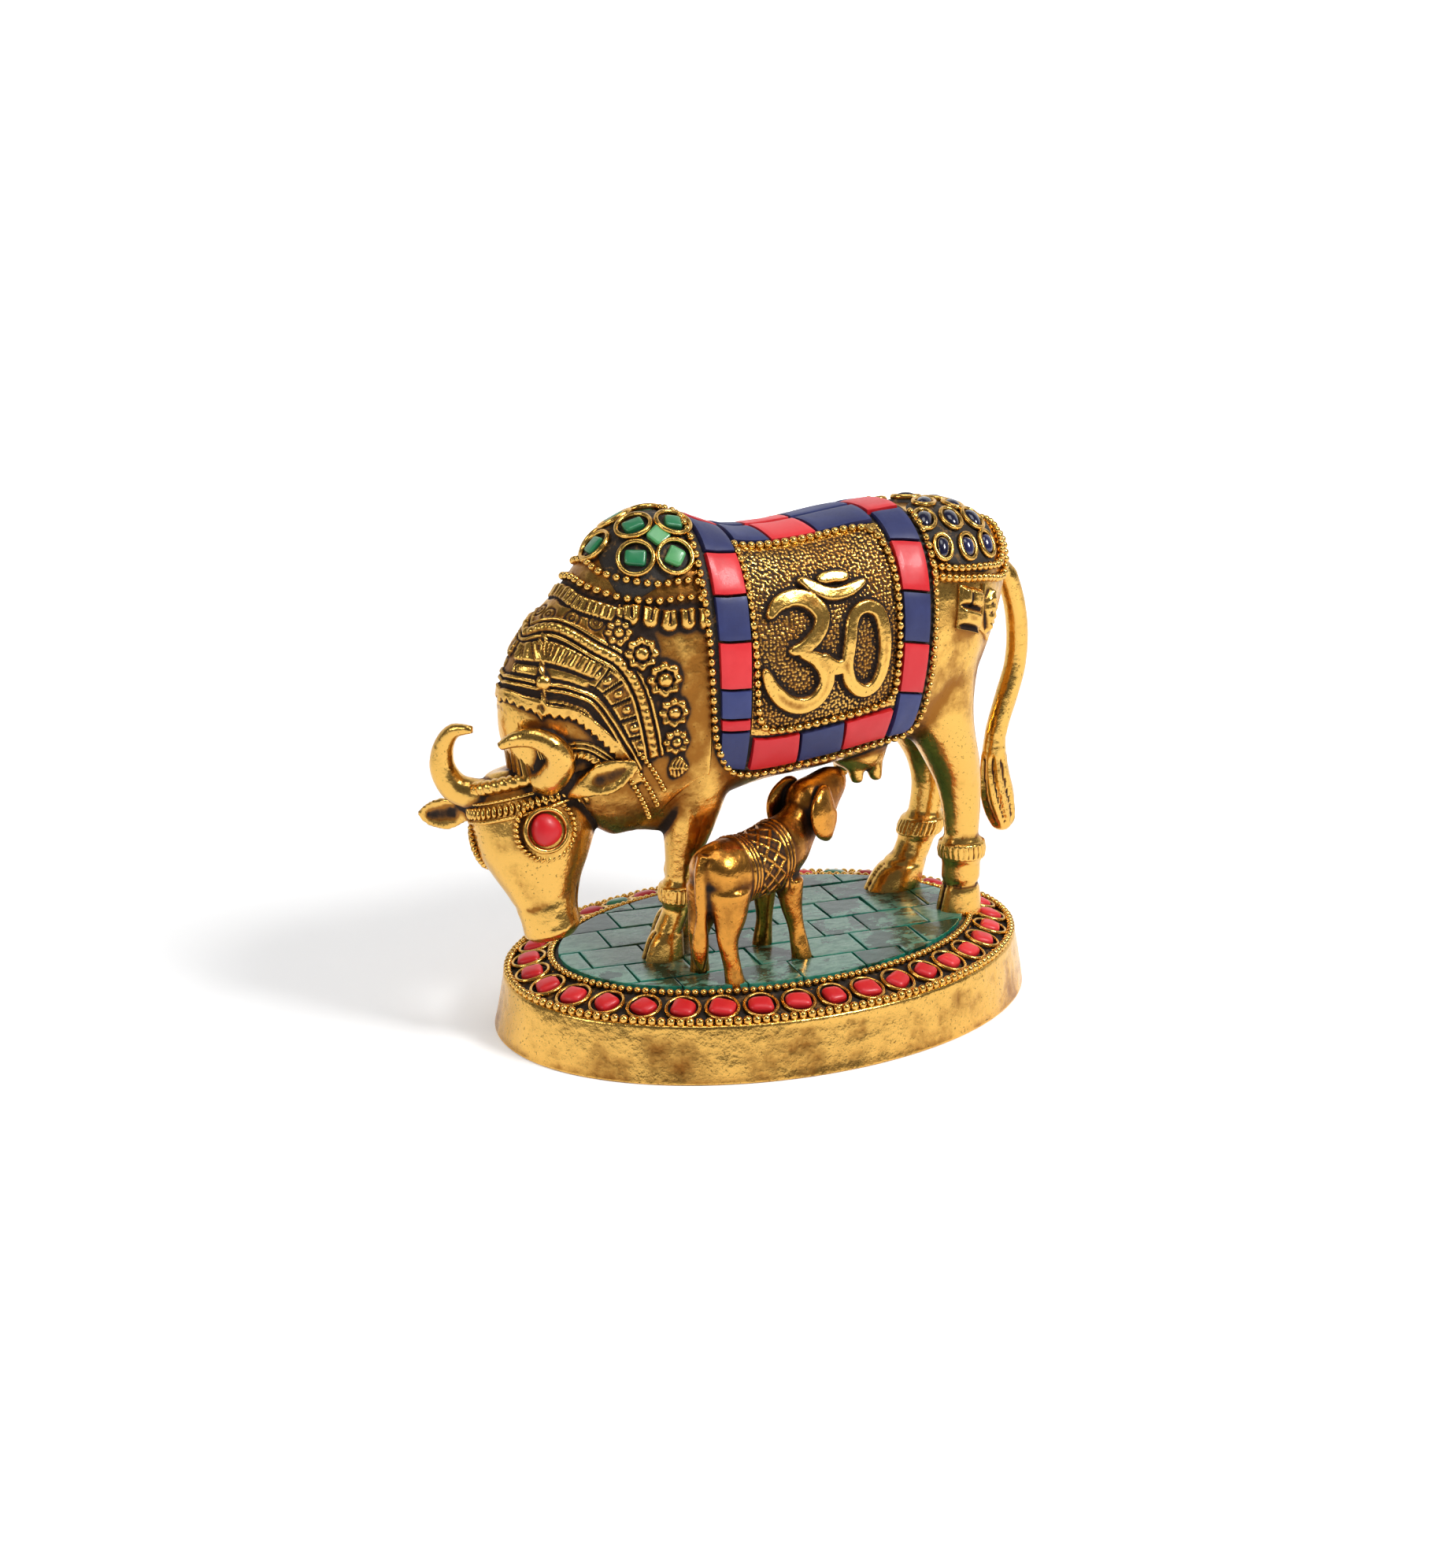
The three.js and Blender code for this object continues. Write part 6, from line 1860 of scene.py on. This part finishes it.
# Stations of the calf: forward, right, up, radius, flatness; of its legs: forward, up, radius
CALF_TRUNK = [
    [-5, 0, 27, 2.5, 1],
    [-3, 0, 27.5, 7.5, 0.9],
    [3, 0, 27.5, 9, 0.9],
    [11, 0, 27, 8.8, 0.9],
    [19, 0, 27.5, 8.8, 0.88],
    [26, 0, 29.5, 8.5, 0.85],
    [31.5, 0, 33, 6.8, 0.8],
    [35, 0, 37, 5.6, 0.85],
]
CALF_HEAD = [
    [31.5, 0, 36.5, 4.5, 0.85],
    [34.5, 0, 37.2, 7.6, 0.78],
    [39, 0, 38.6, 7.8, 0.76],
    [43.5, 0, 41, 6.2, 0.74],
    [47.5, 0, 43, 4.4, 0.8],
    [50, 0, 44.6, 1.8, 0.9],
]
CALF_EAR = [
    [37.5, 4.5, 42.5, 1.8, 1],
    [35.8, 6.4, 42, 3.6, 0.5],
    [34, 7.6, 38.5, 5, 0.4],
    [34.5, 8, 34, 4.2, 0.4],
    [36, 7.8, 30.5, 1.2, 0.6],
]
CALF_FRONT_LEG = [[24, 22, 4.6], [24.5, 14, 3], [25.5, 8, 2.3], [26, 3, 2.6], [26.5, 0, 3]]
CALF_HIND_LEG = [[1, 25, 6.2], [0.5, 17, 4.6], [-1, 11, 2.8], [0, 4, 2.4], [0.8, 0, 3]]
CALF_TAIL = [
    [-4, 0, 34, 2, 1],
    [-6, 0, 27, 1.8, 1],
    [-5.5, 0, 17, 1.8, 1],
    [-5, -1, 8, 2.3, 1],
    [-4.6, -1, 3, 0.9, 1],
]


def on_calf(rows):
    """Stations in space from stations of (forward, right, up, r, flat)."""
    rows = np.asarray(rows, float)
    points = CALF_FOOT + rows[:, :1] * CALF_FORWARD + rows[:, 1:2] * CALF_RIGHT
    points[:, 2] += rows[:, 2]
    return np.concatenate([points, rows[:, 3:5]], 1)


def calf_surfaces():
    """Every closed surface that the calf's casting is joined from."""
    shell = Shell()
    for table, count, columns in ((CALF_TRUNK, 70, 40), (CALF_HEAD, 40, 32), (CALF_TAIL, 40, 14)):
        shell.grid(bent(on_calf(table), count, CALF_RIGHT, columns))
    for side in (1, -1):
        shell.grid(bent(on_calf(np.array(CALF_EAR) * [1, side, 1, 1, 1]), 30, CALF_RIGHT, 24))
        for table, right, out in ((CALF_HIND_LEG, 3.6, 6.5), (CALF_FRONT_LEG, 3.8, 7.4)):
            ahead, up, radius = np.array(table, float).T
            sideways = np.linspace(right, out, len(table)) * side
            legs = on_calf(np.stack([ahead, sideways, up, radius, 0.9 * radius], 1))
            legs[-1, 2] = BED + 0.1
            shell.grid(upright(legs, 40, 20))
    return shell


def calf_relief(points):
    """Raised pattern of the calf's cloth: rings and a lattice of diamonds between them."""
    gone = points - CALF_FOOT
    forward, right, up = gone @ CALF_FORWARD, gone @ CALF_RIGHT, gone[:, 2]
    body = (up > 17) & (forward > -8) & (forward < 33)
    turn = np.arctan2(right, up - 27.5)
    ring = sum(bump(forward, at, 0.42) for at in (6.2, 7.5, 8.8, 19.5, 20.8, 22.1)) * 0.6
    across = turn * 8.6
    wave = [np.abs(np.mod((across + way * forward) / 4.6, 1) - 0.5) * 4.6 for way in (1, -1)]
    cords = np.maximum(bump(wave[0], 0, 0.5), bump(wave[1], 0, 0.5))
    inside = step(forward, 9.8, 10.4) * step(forward, 18.9, 18.3)
    return body * step(up, 18, 21) * (ring + 0.6 * cords * inside)


def calf_body():
    """The calf's casting under one skin, with its cloth's pattern."""
    points, quads = remeshed(calf_surfaces(), CALF_VOXEL)
    blends = [(CALF_FOOT + 24 * CALF_FORWARD + [0, 0, 22], 10), (CALF_FOOT + [0, 0, 22], 12)]
    points = smoothed(points, quads, 4, blends)
    points = points + point_normals(points, quads) * calf_relief(points)[:, None]
    points[:, 2] = np.maximum(points[:, 2], BED)
    return skin_object("calf_body", points, quads, finish("dark_brass"))


# Stage

CAMERA_AZIMUTH, CAMERA_ELEVATION, CAMERA_DISTANCE = -28.0, 17.0, 600.0
CAMERA_TARGET = np.array([-11.775, 0, 62.775])
CAMERA_LENS, CAMERA_SENSOR = 51.42, 36
LIGHT_DISTANCE, LIGHT_TARGET = 1500, np.array([-5, 0, 60.0])
WORLD_LIGHT, FLOOR_GLOW = 0.16, 0.28


def aimed(thing, azimuth, elevation, distance, target):
    """Places a camera or a light so that it looks at the target, from an azimuth (0 looks along
    +Y) and an elevation."""
    a, e = math.radians(azimuth), math.radians(elevation)
    back = np.array([math.sin(a) * math.cos(e), -math.cos(a) * math.cos(e), math.sin(e)])
    eye = Vector((target + back * distance) * MM)
    thing.location = eye
    thing.rotation_euler = (Vector(target * MM) - eye).to_track_quat("-Z", "Y").to_euler()
    bpy.context.scene.collection.objects.link(thing)


def soft_light(name, azimuth, elevation, size, watts):
    """A square soft light looking at the statue's middle."""
    lamp = bpy.data.lights.new(name, "AREA")
    lamp.size, lamp.energy = size, watts
    aimed(bpy.data.objects.new(name, lamp), azimuth, elevation, LIGHT_DISTANCE, LIGHT_TARGET)


def studio_floor(colour):
    """Floor that sweeps up into the backdrop: a profile along the camera's back, drawn sideways.
    Only to the camera does it glow white far from the statue, so its end isn't seen."""
    turn = np.linspace(0, np.pi / 2, 14)
    depth = np.concatenate([[-9000], [-400, 300], 700 + 500 * np.sin(turn), [1200]])
    rise = np.concatenate([[0], [0, 0], 500 - 500 * np.cos(turn), [2200]])
    sideways = 5200 * np.linspace(-1, 1, 3)
    a = math.radians(CAMERA_AZIMUTH)
    depth, sideways, rise = np.broadcast_arrays(depth[:, None], sideways, rise[:, None])
    x = sideways * math.cos(a) - depth * math.sin(a)
    y = sideways * math.sin(a) + depth * math.cos(a)
    quads = grid_quads(*x.shape, False)[:, ::-1]
    mesh = mesh_of("studio_floor", np.stack([x, y, rise], -1).reshape(-1, 3), quads.tolist())
    floor = bpy.data.objects.new("studio_floor", mesh)
    bpy.context.scene.collection.objects.link(floor)
    f = Finish("pale_floor")
    tone = f.mix(f.noise(6, 2) * 0.04, colour, linear(226, 226, 224))
    away = f.add("ShaderNodeVectorMath", {"operation": "LENGTH"}, {0: f.place}).outputs["Value"]
    seen = Value(f, f.add("ShaderNodeLightPath").outputs["Is Camera Ray"])
    glow = f.mix(Value(f, away).ramp(0.3, 0.8) * seen, (*[FLOOR_GLOW] * 3, 1), (1, 1, 1, 1))
    mesh.materials.append(f.surface(tone, 0.85, Emission_Color=glow, Emission_Strength=1.0))
    mesh.update()


def colour_setting(name, description, default):
    """A colour of the panel."""
    return bpy.props.FloatVectorProperty(
        name=name, description=description, subtype="COLOR", size=4, min=0, max=1, default=default
    )


def length_setting(name, description, millimetres):
    """A length of the panel, in metres."""
    return bpy.props.FloatProperty(
        name=name, description=description, unit="LENGTH", precision=5, default=millimetres * MM
    )


def studio_world():
    """Dim light from all round, and plain white where the camera looks past the floor."""
    world = bpy.data.worlds.new("studio_world")
    world.use_nodes = True
    tree = world.node_tree
    dim = tree.nodes["Background"]
    dim.inputs[0].default_value = (0.75, 0.76, 0.78, 1)
    dim.inputs[1].default_value = WORLD_LIGHT
    white = tree.nodes.new("ShaderNodeBackground")
    white.inputs[0].default_value = (1, 1, 1, 1)
    either = tree.nodes.new("ShaderNodeMixShader")
    seen = tree.nodes.new("ShaderNodeLightPath").outputs["Is Camera Ray"]
    tree.links.new(seen, either.inputs[0])
    tree.links.new(dim.outputs[0], either.inputs[1])
    tree.links.new(white.outputs[0], either.inputs[2])
    tree.links.new(either.outputs[0], tree.nodes["World Output"].inputs[0])
    return world


class StatueSettings(bpy.types.PropertyGroup):
    """Sizes and colours that a user would change"""

    bright_brass: colour_setting("Bright brass", "Rubbed brass", linear(230, 180, 92))
    dull_brass: colour_setting("Dull brass", "Brass under patina", linear(150, 98, 40))
    # Dark brass is both patina in the hollows and painted shade in closed-in corners, round the
    # cow's eyes and under her brow bands
    dark_brass: colour_setting("Dark brass", "Dirt in the hollows", linear(38, 21, 8))
    coral: colour_setting("Coral", "Red tiles, rim stones and eyes", linear(206, 18, 30))
    lapis: colour_setting("Lapis", "Blue tiles of the saddle cloth", linear(34, 40, 88))
    green_stone: colour_setting("Green stone", "Stones of the hump", linear(36, 122, 78))
    floor_colour: colour_setting("Floor", "Floor and backdrop", (0.9, 0.9, 0.9, 1))
    rim_bead: length_setting("Rim bead radius", "Beads of the plinth's outer edge", 1.2)
    saddle_bead: length_setting("Saddle bead radius", "Beads round the saddle cloth", 1.0)
    stone_wire: length_setting("Bezel wire radius", "Wires round the set stones", 0.64)
    rim_stones: bpy.props.IntProperty(
        name="Rim stones", description="Stones set round the plinth's rim", default=36, min=3
    )
    key_power: bpy.props.FloatProperty(
        name="Key light", description="Power of the main light", default=17.0, unit="POWER"
    )


class STATUE_OT_cow(bpy.types.Operator):
    """Makes the cow's casting"""

    bl_idname = "statue.cow"
    bl_label = "Cow"

    def execute(self, context):
        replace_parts(cow_body(), "cow")
        return {"FINISHED"}


class STATUE_OT_saddle(bpy.types.Operator):
    """Makes the saddle cloth, its chips, bead wires and panels"""

    bl_idname = "statue.saddle"
    bl_label = "Saddle cloth"

    def execute(self, context):
        saddle_cloth()
        saddle_beads()
        saddle_panel(1)
        saddle_panel(-1)
        coral = saddle_tiles()
        names = [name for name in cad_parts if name.startswith("saddle_tile_")]
        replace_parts(coral, *names)
        return {"FINISHED"}


class STATUE_OT_stones(bpy.types.Operator):
    """Sets the stones of the hump, of the rump and of the eyes"""

    bl_idname = "statue.stones"
    bl_label = "Set stones"

    def execute(self, context):
        body_stones()
        eyes()
        starts = ("hump_stone_", "rump_stone_", "eye_stone_")
        names = [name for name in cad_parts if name.startswith(starts)]
        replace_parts(bpy.data.objects["hump_stones"], *names)
        return {"FINISHED"}


class STATUE_OT_harness(bpy.types.Operator):
    """Chases the harness, brow bands, anklets and rump plates"""

    bl_idname = "statue.harness"
    bl_label = "Harness"

    def execute(self, context):
        neck_harness()
        neck_beads()
        brow_bands()
        anklets()
        rump_plates()
        rump_beads()
        return {"FINISHED"}


class STATUE_OT_calf(bpy.types.Operator):
    """Makes the calf's casting"""

    bl_idname = "statue.calf"
    bl_label = "Calf"

    def execute(self, context):
        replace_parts(calf_body(), "calf")
        return {"FINISHED"}


class STATUE_OT_plinth(bpy.types.Operator):
    """Makes the plinth with its rim of corals and its mosaic"""

    bl_idname = "statue.plinth"
    bl_label = "Plinth"

    def execute(self, context):
        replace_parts(plinth_body(), "plinth")
        rim_channel()
        rim_beads()
        rim_settings()
        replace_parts(rim_corals(), "coral_ring")
        mosaic_bed()
        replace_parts(mosaic_chips(), "mosaic_floor")
        return {"FINISHED"}


class STATUE_OT_stage(bpy.types.Operator):
    """Sets up the floor, the lights and the camera"""

    bl_idname = "statue.stage"
    bl_label = "Studio"

    def execute(self, context):
        settings = context.scene.statue
        studio_floor(tuple(settings.floor_colour))
        context.scene.world = studio_world()
        context.scene.view_settings.view_transform = "Standard"
        soft_light("key_light", 34, 44, 0.4, settings.key_power)
        soft_light("left_light", -84, 26, 0.5, 4.0)
        soft_light("top_light", -20, 80, 0.7, 5.0)
        camera = bpy.data.cameras.new("camera")
        camera.lens, camera.sensor_width = CAMERA_LENS, CAMERA_SENSOR
        camera.clip_start, camera.clip_end = 0.01, 20
        holder = bpy.data.objects.new("camera", camera)
        aimed(holder, CAMERA_AZIMUTH, CAMERA_ELEVATION, CAMERA_DISTANCE, CAMERA_TARGET)
        context.scene.camera = holder
        return {"FINISHED"}


OPERATORS = [
    STATUE_OT_cow,
    STATUE_OT_saddle,
    STATUE_OT_stones,
    STATUE_OT_harness,
    STATUE_OT_calf,
    STATUE_OT_plinth,
    STATUE_OT_stage,
]


class STATUE_PT_panel(bpy.types.Panel):
    """Lists the pieces of the statue"""

    bl_idname = "STATUE_PT_panel"
    bl_label = "Statue"
    bl_space_type = "VIEW_3D"
    bl_region_type = "UI"
    bl_category = "Statue"

    def draw(self, context):
        for operator in OPERATORS:
            self.layout.operator(operator.bl_idname)
        for setting in StatueSettings.__annotations__:
            self.layout.prop(context.scene.statue, setting)


CLASSES = [StatueSettings, *OPERATORS, STATUE_PT_panel]


def register():
    """Registers the classes and the scene's settings."""
    for part in CLASSES:
        bpy.utils.register_class(part)
    bpy.types.Scene.statue = bpy.props.PointerProperty(type=StatueSettings)


def unregister():
    """Takes the settings and the classes away again."""
    del bpy.types.Scene.statue
    for part in reversed(CLASSES):
        bpy.utils.unregister_class(part)


def main():
    """Builds every piece in order."""
    register()
    for operator in OPERATORS:
        group, name = operator.bl_idname.split(".")
        getattr(getattr(bpy.ops, group), name)()
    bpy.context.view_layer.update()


if __name__ == "__main__":
    main()
